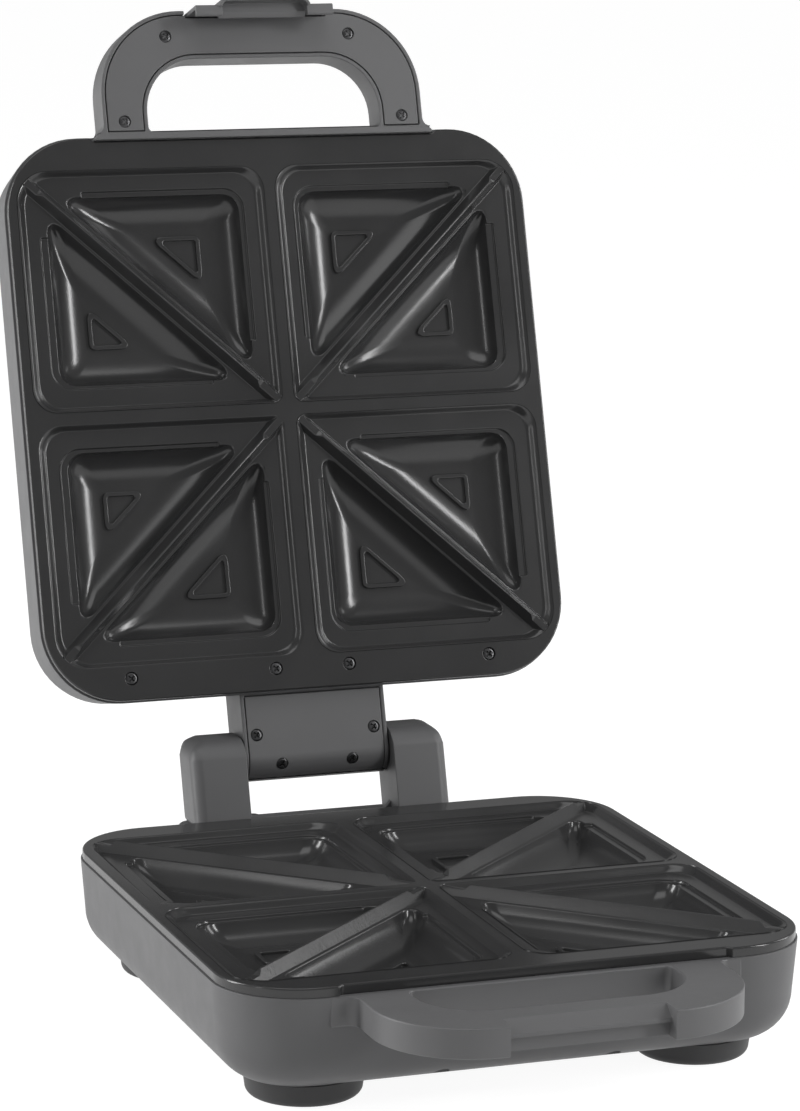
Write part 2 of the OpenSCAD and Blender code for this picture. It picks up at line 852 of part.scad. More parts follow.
// The U-shaped cover of the lid's handle
module handle_cover() {
    color(handle_c) in_lid() difference() {
        translate([0, 0, lid_handle_top - cover_t]) linear_extrude(cover_t) difference() {
            loop_inside(cover_lip + cover_gap, strip_front + cover_gap);
            translate([-recess_half_w + 0.4, -handle_front])
                square([2 * recess_half_w - 0.8, handle_front + cover_front_y]);
        }
        for (p = cover_screws) translate([p[0], p[1], 0]) {
            cylinder(h = 5, r = pilot_r + 0.2);
            translate([0, 0, lid_handle_top - well_h]) cylinder(h = well_h + 1, r = screw_r + 0.2);
        }
    }
}

// ---------- hinge ----------

// Side view of a hinge post
module post_side(t) {
    rise = post_top - deck_top;
    lean = rise * tan(post_lean);
    front = axis_y - 17.7 - (axis_z - deck_top) * tan(post_lean);
    corners = [[front + t, deck_top], [front + post_depth - t, deck_top],
        [front + post_depth + lean - t, post_top - t], [front + lean + t, post_top - t]];
    polygon(rounded(corners, [0.5, 0.5, 10 - t, 8 - t], [2, 2, 8, 8]));
}

// Front view of a hinge post
module post_front(t) {
    corners = box_corners([post_inner + t, post_outer - t], [deck_top, post_top - t]);
    polygon(rounded(corners, [0.5, 0.5, 9 - t, max(1.5 - t, 0.3)], [2, 2, 7, 3]));
}

module post_form(t) {
    intersection() {
        rotate([90, 0, 90]) linear_extrude(post_outer + 1) post_side(t);
        rotate([90, 0, 0]) translate([0, 0, -220]) linear_extrude(120) post_front(t);
    }
}

module hinge_post() {
    inner_wall = 2.4;
    color(housing_c) difference() {
        union() {
            difference() {
                post_form(0);
                translate([0, 0, -0.01]) post_form(inner_wall);
            }
            intersection() {
                post_form(0);
                union() {
                    translate([post_inner, axis_y, axis_z]) rotate([0, 90, 0])
                        cylinder(h = post_outer, r = shaft_r + 3);
                    for (x = post_screw_x) translate([x, post_screw_y, deck_top])
                        cylinder(h = 14, r = 3.6);
                    translate([post_inner, post_screw_y - 1, deck_top])
                        cube([post_outer - post_inner, 2, 14]);
                }
            }
            translate([post_inner, post_screw_y + 4, deck_top]) rotate([90, 0, 0])
                linear_extrude(3) polygon([[0.5, 0], [0.5, 7], [-6.5, 0]]);
        }
        translate([0, axis_y, axis_z]) rotate([0, 90, 0])
            cylinder(h = shaft_half_l + 0.2, r = shaft_r + 0.02);
        for (x = post_screw_x) translate([x, post_screw_y, deck_top - 1])
            cylinder(h = 13, r = pilot_r);
    }
}

module left_hinge_post() {
    on_table() mirror([1, 0, 0]) hinge_post();
}

module right_hinge_post() {
    on_table() hinge_post();
}

module hinge_shaft() {
    color(steel_c) on_table() translate([-shaft_half_l, axis_y, axis_z]) rotate([0, 90, 0])
        cylinder(h = 2 * shaft_half_l, r = shaft_r);
}

// The two thrust washers between the arm and the posts
module hinge_bushes() {
    t = post_inner - arm_half_w - 0.1;
    color(ceramic_c) on_table() both_sides() translate([arm_half_w + 0.05, axis_y, axis_z])
        rotate([0, 90, 0]) difference() {
            cylinder(h = t, r = 7);
            translate([0, 0, -1]) cylinder(h = t + 2, r = shaft_r + run_gap);
        }
}

// Side view of the hinge arm, set in by t
module arm_side(t, start) {
    translate([start, axis_z - arm_r + t]) square([axis_y - start, 2 * (arm_r - t)]);
    translate([axis_y, axis_z]) circle(r = arm_r - t);
}

// Side view of the arm's cover: a flat part and a wrap round the shaft, with thickness t
module arm_cover_side(t, gap) {
    intersection() {
        difference() {
            arm_side(0, house_rear + 0.6 + gap);
            arm_side(t, house_rear - 5);
        }
        union() {
            translate([house_rear - 10, axis_z - arm_r - 1])
                square([axis_y - house_rear + 10, arm_r]);
            translate([axis_y, axis_z]) polygon([[-0.01, 0], [-0.01, -30], [30, -30],
                [30 * cos(arm_wrap + gap * 5), -30 * sin(arm_wrap + gap * 5)]]);
        }
    }
}

// Puts a screw's axis on the flat face and on the curve of the arm, pointing outwards
module arm_screw_places() {
    both_sides() {
        translate([arm_screw_x[0], 160.4, axis_z - arm_r]) mirror([0, 0, 1]) children();
        translate([arm_screw_x[1], axis_y, axis_z]) rotate([arm_screw_turn, 0, 0])
            translate([0, 0, -arm_r]) mirror([0, 0, 1]) children();
    }
}

module hinge_arm() {
    t = 2.2;
    color(housing_c) lid_pose() difference() {
        union() {
            difference() {
                side_profile(arm_half_w) arm_side(0, arm_start);
                side_profile(arm_half_w - t) arm_side(t, arm_start + t);
            }
            translate([-arm_half_w, axis_y, axis_z]) rotate([0, 90, 0])
                cylinder(h = 2 * arm_half_w, r = shaft_r + 2.4);
            intersection() {
                side_profile(arm_half_w) arm_side(0.5, arm_start);
                arm_screw_places() translate([0, 0, -24]) cylinder(h = 23, r = 3);
            }
            translate([-arm_half_w, arm_start, axis_z - arm_r])
                cube([2 * arm_half_w, house_rear + 0.6 - arm_start, 2 * arm_r]);
            translate([-arm_half_w - flange_out, flange_y[0], axis_z - arm_r + flange_in])
                cube([2 * (arm_half_w + flange_out), flange_y[1] - flange_y[0],
                    2 * (arm_r - flange_in)]);
        }
        side_profile(arm_half_w - t) arm_cover_side(t, 0);
        translate([-arm_half_w - 1, axis_y, axis_z]) rotate([0, 90, 0])
            cylinder(h = 2 * arm_half_w + 2, r = shaft_r + run_gap);
        arm_screw_places() translate([0, 0, -8.6]) cylinder(h = 10, r = pilot_r);
    }
}

module hinge_arm_cover() {
    color(handle_c) lid_pose() difference() {
        side_profile(arm_half_w - 2.2 - cover_gap) arm_cover_side(2.2, cover_gap);
        arm_screw_places() {
            translate([0, 0, -5]) cylinder(h = 6, r = pilot_r + 0.2);
            translate([0, 0, -well_h]) cylinder(h = well_h + 2, r = screw_r + 0.2);
        }
    }
}

// ---------- latch ----------

// Side view of the latch: hook leg, front plate and the web over the pin
module latch_side() {
    out = latch_front_y;
    top = latch_axis_z + 4.7;
    t = latch_t;
    web = latch_axis_z + 2.7;
    round_a = asin(4.7 / 7.5);
    polygon(concat([[latch_axis_y, web], [out + t + 0.8, web], [out + t, web - 0.8],
        [out + t, hook_z + 2], [hook_tip_y, hook_z + 2], [hook_tip_y + 0.3, hook_z + 0.8],
        [hook_tip_y - 0.6, hook_z], [out + 0.5, hook_z], [out, hook_z + 0.5]],
        [for (a = [180:-6:180 - round_a]) [latch_axis_y, latch_axis_z] + 7.5 * [cos(a), sin(a)]],
        [[latch_axis_y, top]]));
}

// Outline of the finger tab from below, set in by d and carried back to y
module tab_outline(d, y) {
    w = tab_half_w - d;
    front = latch_front_y - tab_out + d;
    polygon([[-w, y], [-w, latch_front_y], [-w + tab_slant, front], [w - tab_slant, front],
        [w, latch_front_y], [w, y]]);
}

// Side view of the roof of the tab's hollow, clear of the step that the hook grips
module tab_roof_side() {
    low = hook_z + tab_roof;
    back = latch_front_y + latch_t;
    polygon([[back - 0.5, low], [back + 0.7, low], [back + 3.3, low + 1.8], [back + 3.3, low + 3.3],
        [back - 0.5, low + 3.3]]);
}

module latch() {
    knuckle = 10;
    low = hook_z - tab_drop;
    color(handle_c) lid_pose() difference() {
        union() {
            difference() {
                union() {
                    side_profile(latch_half_w) latch_side();
                    translate([0, 0, low]) linear_extrude(tab_h)
                        tab_outline(0, latch_front_y + 1);
                }
                translate([0, 0, low - 1]) linear_extrude(hook_z + tab_roof - low + 1)
                    tab_outline(tab_wall, hook_tip_y + 2);
            }
            side_profile(tab_half_w - tab_wall + 0.5) tab_roof_side();
            both_sides() translate([latch_half_w - knuckle, latch_axis_y, latch_axis_z])
                rotate([0, 90, 0]) cylinder(h = knuckle, r = 3.6);
        }
        translate([-50, latch_axis_y, latch_axis_z]) rotate([0, 90, 0])
            cylinder(h = 100, r = latch_pin_r + run_gap);
    }
}

module latch_pin() {
    color(steel_c) lid_pose() translate([-41, latch_axis_y, latch_axis_z]) rotate([0, 90, 0])
        cylinder(h = 82, r = latch_pin_r);
}

// The coil that turns the latch shut
module latch_spring() {
    turns = 5;
    pitch = 0.9;
    wire_r = 0.35;
    mean_r = 2.1;
    per_turn = 12;
    sides = 6;
    rings = [for (i = [0:turns * per_turn]) let (a = i * 360 / per_turn)
        [for (k = [0:sides - 1]) let (b = k * 360 / sides, r = mean_r + wire_r * cos(b))
            [r * cos(a), r * sin(a), pitch * i / per_turn + wire_r * sin(b)]]];
    color(steel_c) lid_pose() translate([-turns * pitch / 2, latch_axis_y, latch_axis_z])
        rotate([0, 90, 0]) spring_wire(rings);
}

// A closed tube through rings of points that follow a coil
module spring_wire(rings) {
    count = len(rings[0]);
    last = (len(rings) - 1) * count;
    sides = [for (k = [0:len(rings) - 2]) for (i = [0:count - 1])
        let (j = (i + 1) % count, low = k * count, high = low + count)
        each [[low + i, high + j, high + i], [low + i, low + j, high + j]]];
    bottom = [[for (i = [count - 1:-1:0]) i]];
    top = [[for (i = [0:count - 1]) last + i]];
    polyhedron(points = [for (r = rings) each r], faces = concat(sides, bottom, top));
}

// ---------- screws ----------

// A cross-head screw, its head's top at Z = 0 and its shank below
module screw(length, head_r = screw_r) {
    color(screw_c) difference() {
        union() {
            translate([0, 0, -head_h]) cylinder(h = head_h, r = head_r);
            translate([0, 0, -length]) cylinder(h = length - 1, r = pilot_r - 0.05);
        }
        for (a = [45, 135]) rotate([0, 0, a]) cube([3.4, 0.8, 1.8], center = true);
    }
}

module lower_plate_screws() {
    in_base() for (p = lower_screws) translate([p[0], p[1], -well_top - head_h])
        mirror([0, 0, 1]) screw(17);
}

module upper_plate_screws() {
    in_lid() for (p = upper_screws) translate([p[0], p[1], -head_sunk]) screw(26);
}

module handle_cover_screws() {
    in_lid() for (p = cover_screws) translate([p[0], p[1], lid_handle_top - head_sunk])
        screw(9, small_screw_r);
}

module hinge_arm_screws() {
    lid_pose() arm_screw_places() translate([0, 0, -head_sunk]) screw(8, small_screw_r);
}

module foot_screws() {
    on_table() foot_places() translate([0, 0, 4.4]) mirror([0, 0, 1]) screw(15, 4.5);
}

module post_screws() {
    on_table() both_sides() for (x = post_screw_x)
        translate([x, post_screw_y, deck_top - wall - head_h]) mirror([0, 0, 1])
            screw(13, small_screw_r);
}

lower_housing();
lower_plate();
lower_plate_screws();
lower_element();
lower_reflector();
thermal_cutout();
terminal_block();
cord_gland();
foot_front_left();
foot_front_right();
foot_rear_left();
foot_rear_right();
foot_screws();
left_hinge_post();
right_hinge_post();
post_screws();
hinge_shaft();
hinge_bushes();
upper_housing();
upper_plate();
upper_plate_screws();
upper_element();
upper_reflector();
thermostat();
power_lamp_lens();
ready_lamp_lens();
lamp_holder();
handle_cover();
handle_cover_screws();
hinge_arm();
hinge_arm_cover();
hinge_arm_screws();
latch();
latch_pin();
latch_spring();
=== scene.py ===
"""Four-slice sandwich toaster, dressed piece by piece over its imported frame."""

import json
import math

import bmesh
import bpy
from mathutils import Matrix, Vector


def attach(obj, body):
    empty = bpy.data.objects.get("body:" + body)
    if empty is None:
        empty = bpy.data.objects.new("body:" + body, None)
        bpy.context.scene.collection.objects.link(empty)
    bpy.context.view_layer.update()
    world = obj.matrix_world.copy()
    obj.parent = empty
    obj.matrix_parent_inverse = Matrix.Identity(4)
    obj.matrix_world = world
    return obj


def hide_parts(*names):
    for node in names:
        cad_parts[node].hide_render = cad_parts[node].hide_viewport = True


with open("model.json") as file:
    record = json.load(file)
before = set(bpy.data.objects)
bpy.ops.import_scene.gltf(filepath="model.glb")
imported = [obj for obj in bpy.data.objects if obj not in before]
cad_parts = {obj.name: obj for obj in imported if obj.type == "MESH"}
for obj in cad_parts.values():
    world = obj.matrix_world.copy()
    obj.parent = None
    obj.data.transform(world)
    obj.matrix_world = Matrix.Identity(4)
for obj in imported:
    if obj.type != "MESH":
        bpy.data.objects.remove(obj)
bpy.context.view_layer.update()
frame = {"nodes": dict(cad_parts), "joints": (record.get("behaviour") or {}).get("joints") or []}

bl_info = {
    "name": "Sandwich Toaster",
    "version": (1, 0, 0),
    "blender": (4, 5, 0),
    "location": "View3D > Sidebar > Toaster",
    "description": "Builds the visible pieces of a four-slice sandwich toaster",
    "category": "Object",
}

HINGE = next(j for j in frame["joints"] if j["name"] == "lid_hinge")


def shift(x, y, z):
    return Matrix.Translation((x, y, z))


# Everything is drawn in millimetres about the centre of the lower plate, and a placing
# matrix then takes it to the frame in metres. IN_BASE and IN_LID have Z = 0 on a plate's
# rim, and the lid is drawn upside down. ON_TABLE and LID_POSE have Z = 0 under the feet.
RIM_Z, RIM_GAP = 60.0, 4.8
AXIS_Y, AXIS_Z = 170.5, 82.5
LID_OPEN = 107.15
MID_Y = AXIS_Y - HINGE["pos_m"][1] * 1000.0
TO_METRES = Matrix.Scale(0.001, 4)
ON_TABLE = TO_METRES @ shift(0, -MID_Y, 0)
IN_BASE = ON_TABLE @ shift(0, 0, RIM_Z)
LID_POSE = (
    ON_TABLE
    @ shift(0, AXIS_Y, AXIS_Z)
    @ Matrix.Rotation(math.radians(-LID_OPEN), 4, "X")
    @ shift(0, -AXIS_Y, -AXIS_Z)
)
MIRROR_Z = Matrix.Diagonal((1, 1, -1, 1))
DOWN = Matrix.Rotation(math.pi, 4, "X")
IN_LID = LID_POSE @ shift(0, 0, RIM_Z + RIM_GAP) @ MIRROR_Z

# Depths below the rim: the plates' skirt, the bread's seat and the pockets below the seat.
# A pocket's scooped wall runs in by SCOOP_RUN, its mouth flares, and the wall is CAST thick.
SKIRT, SEAT, POCKET = 4.6, 3.2, 12.0
SCOOP_RUN, CAST, FLARE = 17.5, 2.3, 0.8
CELL_X = (3.0, 130.0)
CELL_Y = (3.1, 122.8)
RIDGE_LEN = math.dist((CELL_X[0], CELL_Y[0]), (CELL_X[1], CELL_Y[1]))
RIDGE_ANGLE = math.atan2(CELL_Y[1] - CELL_Y[0], CELL_X[1] - CELL_X[0])

# The plates' outline, and where their screws and the feet stand.
PLATE_X, PLATE_FRONT, PLATE_REAR, PLATE_R = 135.0, -139.0, 139.5, 38.0
UPPER_SCREWS = [(-93.1, 128.7), (-19.1, 128.7), (19.1, 128.7), (93.1, 128.7)]
LOWER_SCREWS = [(-40, 128.7), (40, 128.7), (-40, -126.7), (40, -126.7)]
COVER_SCREWS = [(-72.6, -146.1), (-48, -188.5), (48, -188.5), (72.6, -146.1)]
FOOT_PLACES = [(x, y) for x in (-91.6, 91.6) for y in (-94.3, 98.8)]
FOOT_R, FOOT_TOP = 26.6, 10.6

# The housings' outline at their rim, their walls, and levels that pass through their floor.
HOUSING_X, HOUSING_FRONT, HOUSING_REAR, HOUSING_R = 135.8, -139.8, 140.3, 38.8
DRAFT, WALL_HEIGHT, EDGE_R, WALL = 2.0, 24.4, 20, 2.6
THROUGH_FLOOR = (-52, -44)

# Both hand loops have one outline: half their width, their front and its corner's radius,
# and the same of the opening in them. LOOP_DEPTH is how deep the lid's loop is.
LOOP_X, LOOP_FRONT, LOOP_R = 83.6, -201.4, 43
HOLE_X, HOLE_FRONT, HOLE_R = 60.6, -177, 27
LOOP_DEPTH = 16.5

# The hinge arm's half width and its barrel's radius, and the places of lamps and cord outlet.
ARM_X, BARREL_R = 37.5, 12
LAMPS_X, LAMP_Y = (-11, 11), -86
OUTLET = (-28, 176, 43)

# Radii of the wells that the small screws' heads sit in.
PLATE_WELL, COVER_WELL, FLOOR_WELL = 3.25, 3.15, 3.5

# Edges that turn by less than this are shaded smooth.
SMOOTH_ANGLE = math.radians(32.0)


# ---------- holding, selecting and moving ----------


def let_go():
    """Leaves edit mode and selects nothing."""
    if bpy.context.object and bpy.context.object.mode != "OBJECT":
        bpy.ops.object.mode_set(mode="OBJECT")
    bpy.ops.object.select_all(action="DESELECT")


def hold(*pieces):
    """Selects the pieces, with the first one active."""
    let_go()
    for piece in pieces:
        piece.select_set(True)
    bpy.context.view_layer.objects.active = pieces[0]


def edit(piece, kind):
    """Opens the piece's mesh with nothing selected."""
    hold(piece)
    bpy.ops.object.mode_set(mode="EDIT")
    bpy.ops.mesh.select_mode(type=kind)
    bpy.ops.mesh.select_all(action="DESELECT")


def edit_all(piece):
    """Opens the piece's mesh with all of it selected."""
    edit(piece, "FACE")
    bpy.ops.mesh.select_all(action="SELECT")


def pick(kind, test):
    """Selects, in the open mesh, the vertices or edges that pass the test."""
    mesh = bpy.context.object.data
    shape = bmesh.from_edit_mesh(mesh)
    for part in shape.verts if kind == "VERT" else shape.edges:
        if test(part):
            part.select_set(True)
    bmesh.update_edit_mesh(mesh)


def push(move):
    """Extrudes the selected face by the move."""
    bpy.ops.mesh.extrude_region_move(TRANSFORM_OT_translate={"value": Vector(move)})


def swell(factors, centre):
    """Scales the selected face along X and Y about a centre."""
    bpy.ops.transform.resize(value=(*factors, 1), center_override=(*centre, 0))


def face_out(piece):
    """Points every face of a closed piece outwards."""
    edit_all(piece)
    bpy.ops.mesh.normals_make_consistent(inside=False)
    let_go()


def place(piece, matrix):
    """Moves the piece's mesh by the matrix and leaves its object at the origin."""
    hold(piece)
    piece.matrix_world = matrix
    bpy.ops.object.transform_apply(location=True, rotation=True, scale=True)
    if matrix.determinant() < 0:
        face_out(piece)
    return piece


def twin(piece, matrix=None):
    """A copy with a mesh of its own, moved by the matrix."""
    hold(piece)
    bpy.ops.object.duplicate()
    copy = bpy.context.object
    if matrix is not None:
        place(copy, matrix)
    return copy


def join(pieces):
    """Makes one piece of them all, under the first one's name."""
    hold(*pieces)
    if len(pieces) > 1:
        bpy.ops.object.join()
    return pieces[0]


def modify(piece, kind, **settings):
    """Gives the piece a modifier with these settings, and applies it."""
    hold(piece)
    bpy.ops.object.modifier_add(type=kind)
    modifier = piece.modifiers[-1]
    for label, value in settings.items():
        setattr(modifier, label, value)
    bpy.ops.object.modifier_apply(modifier=modifier.name)
    return piece


def combine(piece, tool, how):
    """Adds or takes away the tool, or keeps what both share."""
    modify(piece, "BOOLEAN", operation=how, solver="EXACT", object=tool)
    bpy.data.objects.remove(tool, do_unlink=True)
    return piece


def cut(piece, tool):
    return combine(piece, tool, "DIFFERENCE")


def add(piece, tool):
    return combine(piece, tool, "UNION")


def soften(piece, width, steps=2, angle=35.0):
    """Rounds every edge that turns by more than the angle, in degrees."""
    return modify(
        piece, "BEVEL", width=width, segments=steps, limit_method="ANGLE",
        angle_limit=math.radians(angle), use_clamp_overlap=False, miter_outer="MITER_ARC",
    )


# ---------- outlines, prisms and discs ----------


def spot(point, level, plane):
    """The place of a point drawn on a plane, at a level across it."""
    a, b = point
    if plane == "XY":
        return Vector((a, b, level))
    if plane == "YZ":
        return Vector((level, a, b))
    return Vector((a, level, b))


def outline(name, corners, rounds=None, level=0.0, plane="XY"):
    """A flat face through the corners, each rounded by its (radius, steps)."""
    let_go()
    bpy.ops.mesh.primitive_circle_add(vertices=len(corners), radius=1, fill_type="NGON")
    piece = bpy.context.object
    piece.name = piece.data.name = name
    places = [spot(c, level, plane) for c in corners]
    starts = [v.co.copy() for v in piece.data.vertices]
    edit(piece, "VERT")
    for index, (start, goal) in enumerate(zip(starts, places)):
        bpy.ops.mesh.select_all(action="DESELECT")
        pick("VERT", lambda v: v.index == index)
        bpy.ops.transform.translate(value=goal - start)
    count = len(places)
    for index, (radius, steps) in enumerate(rounds or []):
        if radius <= 0:
            continue
        corner = places[index]
        before = (places[index - 1] - corner).normalized()
        after = (places[(index + 1) % count] - corner).normalized()
        half = before.angle(after) / 2
        bpy.ops.mesh.select_all(action="DESELECT")
        pick("VERT", lambda v: (v.co - corner).length < 1e-4)
        bpy.ops.mesh.bevel(
            offset=radius / math.tan(half),
            offset_type="OFFSET",
            segments=steps,
            affect="VERTICES",
        )
    let_go()
    return piece


def box_corners(x, y):
    return [(x[0], y[0]), (x[1], y[0]), (x[1], y[1]), (x[0], y[1])]


def arc(centre, radius, degrees):
    """Points on a circle at these angles."""
    turns = [math.radians(angle) for angle in degrees]
    return [(centre[0] + radius * math.cos(t), centre[1] + radius * math.sin(t)) for t in turns]


def extrude(piece, move):
    """Makes a prism of a flat piece."""
    edit_all(piece)
    push(move)
    face_out(piece)
    return piece


def prism(name, corners, rounds, levels, plane="XY"):
    """A prism on an outline between two levels."""
    piece = outline(name, corners, rounds, levels[0], plane)
    return extrude(piece, spot((0, 0), levels[1] - levels[0], plane))


def block(name, x, y, z):
    """A box between two values along each axis."""
    return prism(name, box_corners(x, y), None, z)


def step_on(steps):
    """Carries the selected end face on through rings of (inset, advance)."""
    for inset, advance in steps:
        bpy.ops.mesh.inset(thickness=inset, depth=advance, use_even_offset=True)


def carry_on(piece, towards, steps):
    """Carries the face that lies furthest along the direction on through rings."""
    edit(piece, "FACE")
    shape = bmesh.from_edit_mesh(piece.data)
    way = Vector(towards)
    flat = [f for f in shape.faces if abs(f.normal.dot(way)) > 0.99]
    max(flat, key=lambda f: f.calc_center_median().dot(way)).select_set(True)
    bmesh.update_edit_mesh(piece.data)
    step_on(steps)
    let_go()
    return piece


def round_over(radius, parts, height=None):
    """Steps of a quarter round from a side onto a flat end."""
    height = radius if height is None else height
    turns = [math.pi / 2 * i / parts for i in range(parts + 1)]
    rings = [(radius * (1 - math.cos(t)), height * math.sin(t)) for t in turns]
    return [(b[0] - a[0], b[1] - a[1]) for a, b in zip(rings, rings[1:])]


def disc(name, radius, level, centre=(0, 0), facets=64):
    """A flat round face."""
    let_go()
    bpy.ops.mesh.primitive_circle_add(
        vertices=facets, radius=radius, fill_type="NGON", location=(*centre, level)
    )
    piece = bpy.context.object
    piece.name = piece.data.name = name
    bpy.ops.object.transform_apply(location=True, rotation=True, scale=True)
    return piece


def rod(name, radius, centre, levels, facets=48):
    """A plain round bar along Z, used for holes and pins."""
    return extrude(disc(name, radius, levels[0], centre, facets), (0, 0, levels[1] - levels[0]))


def four_ways(piece):
    """The piece and its three mirror images over X and Y, in one mesh."""
    copies = [
        twin(piece, Matrix.Diagonal((sx, sy, 1, 1)))
        for sx, sy in ((-1, 1), (1, -1), (-1, -1))
    ]
    return join([piece] + copies)


# ---------- finishes ----------


def socket(node, name, value):
    node.inputs[name].default_value = value


def rgba(colour):
    return (*colour, 1.0)


def group_of(name, inputs, outputs):
    """A new node group with float inputs: its tree, its two end nodes and object coordinates."""
    tree = bpy.data.node_groups.new(name, "ShaderNodeTree")
    for label, default in inputs:
        item = tree.interface.new_socket(label, in_out="INPUT", socket_type="NodeSocketFloat")
        item.default_value = default
    for label in outputs:
        tree.interface.new_socket(label, in_out="OUTPUT", socket_type="NodeSocketFloat")
    start, end = tree.nodes.new("NodeGroupInput"), tree.nodes.new("NodeGroupOutput")
    return tree, start, end, tree.nodes.new("ShaderNodeTexCoord").outputs["Object"]


def send(tree, end, **sources):
    """Links each source to the group's output of that name."""
    for label, source in sources.items():
        tree.links.new(source, end.inputs[label.replace("_", " ")])


def mapped_range(tree, source, span, goal):
    node = tree.nodes.new("ShaderNodeMapRange")
    tree.links.new(source, node.inputs["Value"])
    for label, value in zip(("From Min", "From Max", "To Min", "To Max"), (*span, *goal)):
        socket(node, label, value)
    return node.outputs["Result"]


def noise(tree, coords, scale, detail, rough):
    node = tree.nodes.new("ShaderNodeTexNoise")
    tree.links.new(coords, node.inputs["Vector"])
    for label, value in (("Scale", scale), ("Detail", detail), ("Roughness", rough)):
        socket(node, label, value)
    return node.outputs["Fac"]


def maths(tree, kind, a, b):
    node = tree.nodes.new("ShaderNodeMath")
    node.operation = kind
    for index, value in enumerate((a, b)):
        if isinstance(value, (int, float)):
            node.inputs[index].default_value = value
        else:
            tree.links.new(value, node.inputs[index])
    return node.outputs["Value"]


# Most of a noise texture's values lie in this span.
NOISE_SPAN = (0.3, 0.7)
# How much lighter a speck is than the coating around it.
SPECK_GAIN = 3.2


def build_grain_group():
    """Spark-eroded grain of moulded plastic: fine pits over a slow waviness."""
    tree, start, end, coords = group_of(
        "Moulded Grain", [("Grain", 1.0), ("Base Roughness", 0.45)],
        ["Height", "Roughness", "Tone"],
    )
    pits = noise(tree, coords, 1500.0, 3.0, 0.6)
    slow = noise(tree, coords, 26.0, 3.0, 0.55)
    smears = noise(tree, coords, 90.0, 4.0, 0.6)
    height = maths(tree, "MULTIPLY", pits, start.outputs["Grain"])
    drift = mapped_range(tree, slow, NOISE_SPAN, (-0.03, 0.03))
    handling = mapped_range(tree, smears, (0.35, 0.7), (-0.02, 0.03))
    rough = maths(tree, "ADD", start.outputs["Base Roughness"], drift)
    rough = maths(tree, "ADD", rough, handling)
    tone = mapped_range(tree, slow, NOISE_SPAN, (0.97, 1.03))
    send(tree, end, Height=height, Roughness=rough, Tone=tone)
    return tree


def build_coating_group():
    """Sprayed non-stick coating: orange peel, tiny mica specks and dulled patches."""
    tree, start, end, coords = group_of(
        "Non-stick Coating", [("Base Roughness", 0.35), ("Specks", 1.0)],
        ["Height", "Roughness", "Speck Mask", "Tone"],
    )
    peel = noise(tree, coords, 420.0, 3.0, 0.5)
    fine = noise(tree, coords, 1900.0, 2.0, 0.6)
    slow = noise(tree, coords, 18.0, 3.0, 0.6)
    height = maths(tree, "ADD", peel, maths(tree, "MULTIPLY", fine, 0.35))
    drift = mapped_range(tree, slow, NOISE_SPAN, (-0.035, 0.035))
    rough = maths(tree, "ADD", start.outputs["Base Roughness"], drift)
    cells = tree.nodes.new("ShaderNodeTexVoronoi")
    tree.links.new(coords, cells.inputs["Vector"])
    socket(cells, "Scale", 1100.0)
    specks = mapped_range(tree, cells.outputs["Distance"], (0.05, 0.16), (1.0, 0.0))
    specks = maths(tree, "MULTIPLY", specks, start.outputs["Specks"])
    tone = mapped_range(tree, slow, NOISE_SPAN, (0.94, 1.06))
    send(tree, end, Height=height, Roughness=rough, Speck_Mask=specks, Tone=tone)
    return tree


def build_brushed_group():
    """Fine drawn lines and stains of bare metal."""
    tree, start, end, coords = group_of(
        "Drawn Metal", [("Base Roughness", 0.3)], ["Height", "Roughness", "Tone"]
    )
    stretch = tree.nodes.new("ShaderNodeMapping")
    tree.links.new(coords, stretch.inputs["Vector"])
    socket(stretch, "Scale", (40.0, 1.0, 1.0))
    lines = noise(tree, stretch.outputs["Vector"], 60.0, 3.0, 0.6)
    stain = noise(tree, coords, 35.0, 3.0, 0.6)
    drift = mapped_range(tree, stain, NOISE_SPAN, (-0.05, 0.08))
    rough = maths(tree, "ADD", start.outputs["Base Roughness"], drift)
    tone = mapped_range(tree, stain, NOISE_SPAN, (0.9, 1.06))
    send(tree, end, Height=lines, Roughness=rough, Tone=tone)
    return tree


def tinted(tree, colour, tone):
    """The colour, made a little lighter or darker by the tone."""
    node = tree.nodes.new("ShaderNodeVectorMath")
    node.operation = "SCALE"
    node.inputs[0].default_value = colour
    tree.links.new(tone, node.inputs["Scale"])
    return node.outputs["Vector"]


def finish_of(name, group, colour, bump, group_values, shader_values):
    """A Principled material with a shared group. bump is a strength and a distance in metres."""
    material = bpy.data.materials.new(name)
    material.use_nodes = True
    tree = material.node_tree
    shader = tree.nodes["Principled BSDF"]
    effect = tree.nodes.new("ShaderNodeGroup")
    effect.node_tree = group
    for label, value in group_values.items():
        socket(effect, label, value)
    for label, value in shader_values.items():
        socket(shader, label, value)
    relief = tree.nodes.new("ShaderNodeBump")
    socket(relief, "Strength", bump[0])
    socket(relief, "Distance", bump[1])
    tree.links.new(effect.outputs["Height"], relief.inputs["Height"])
    tree.links.new(relief.outputs["Normal"], shader.inputs["Normal"])
    tree.links.new(effect.outputs["Roughness"], shader.inputs["Roughness"])
    tint = tinted(tree, colour, effect.outputs["Tone"])
    if "Speck Mask" in effect.outputs:
        mix = tree.nodes.new("ShaderNodeMix")
        mix.data_type = "RGBA"
        tree.links.new(effect.outputs["Speck Mask"], mix.inputs["Factor"])
        tree.links.new(tint, mix.inputs["A"])
        mix.inputs["B"].default_value = rgba([c * SPECK_GAIN for c in colour])
        tint = mix.outputs["Result"]
    tree.links.new(tint, shader.inputs["Base Color"])
    return material


FINISHES = {}


def give(piece, finish):
    piece.data.materials.clear()
    piece.data.materials.append(FINISHES[finish])


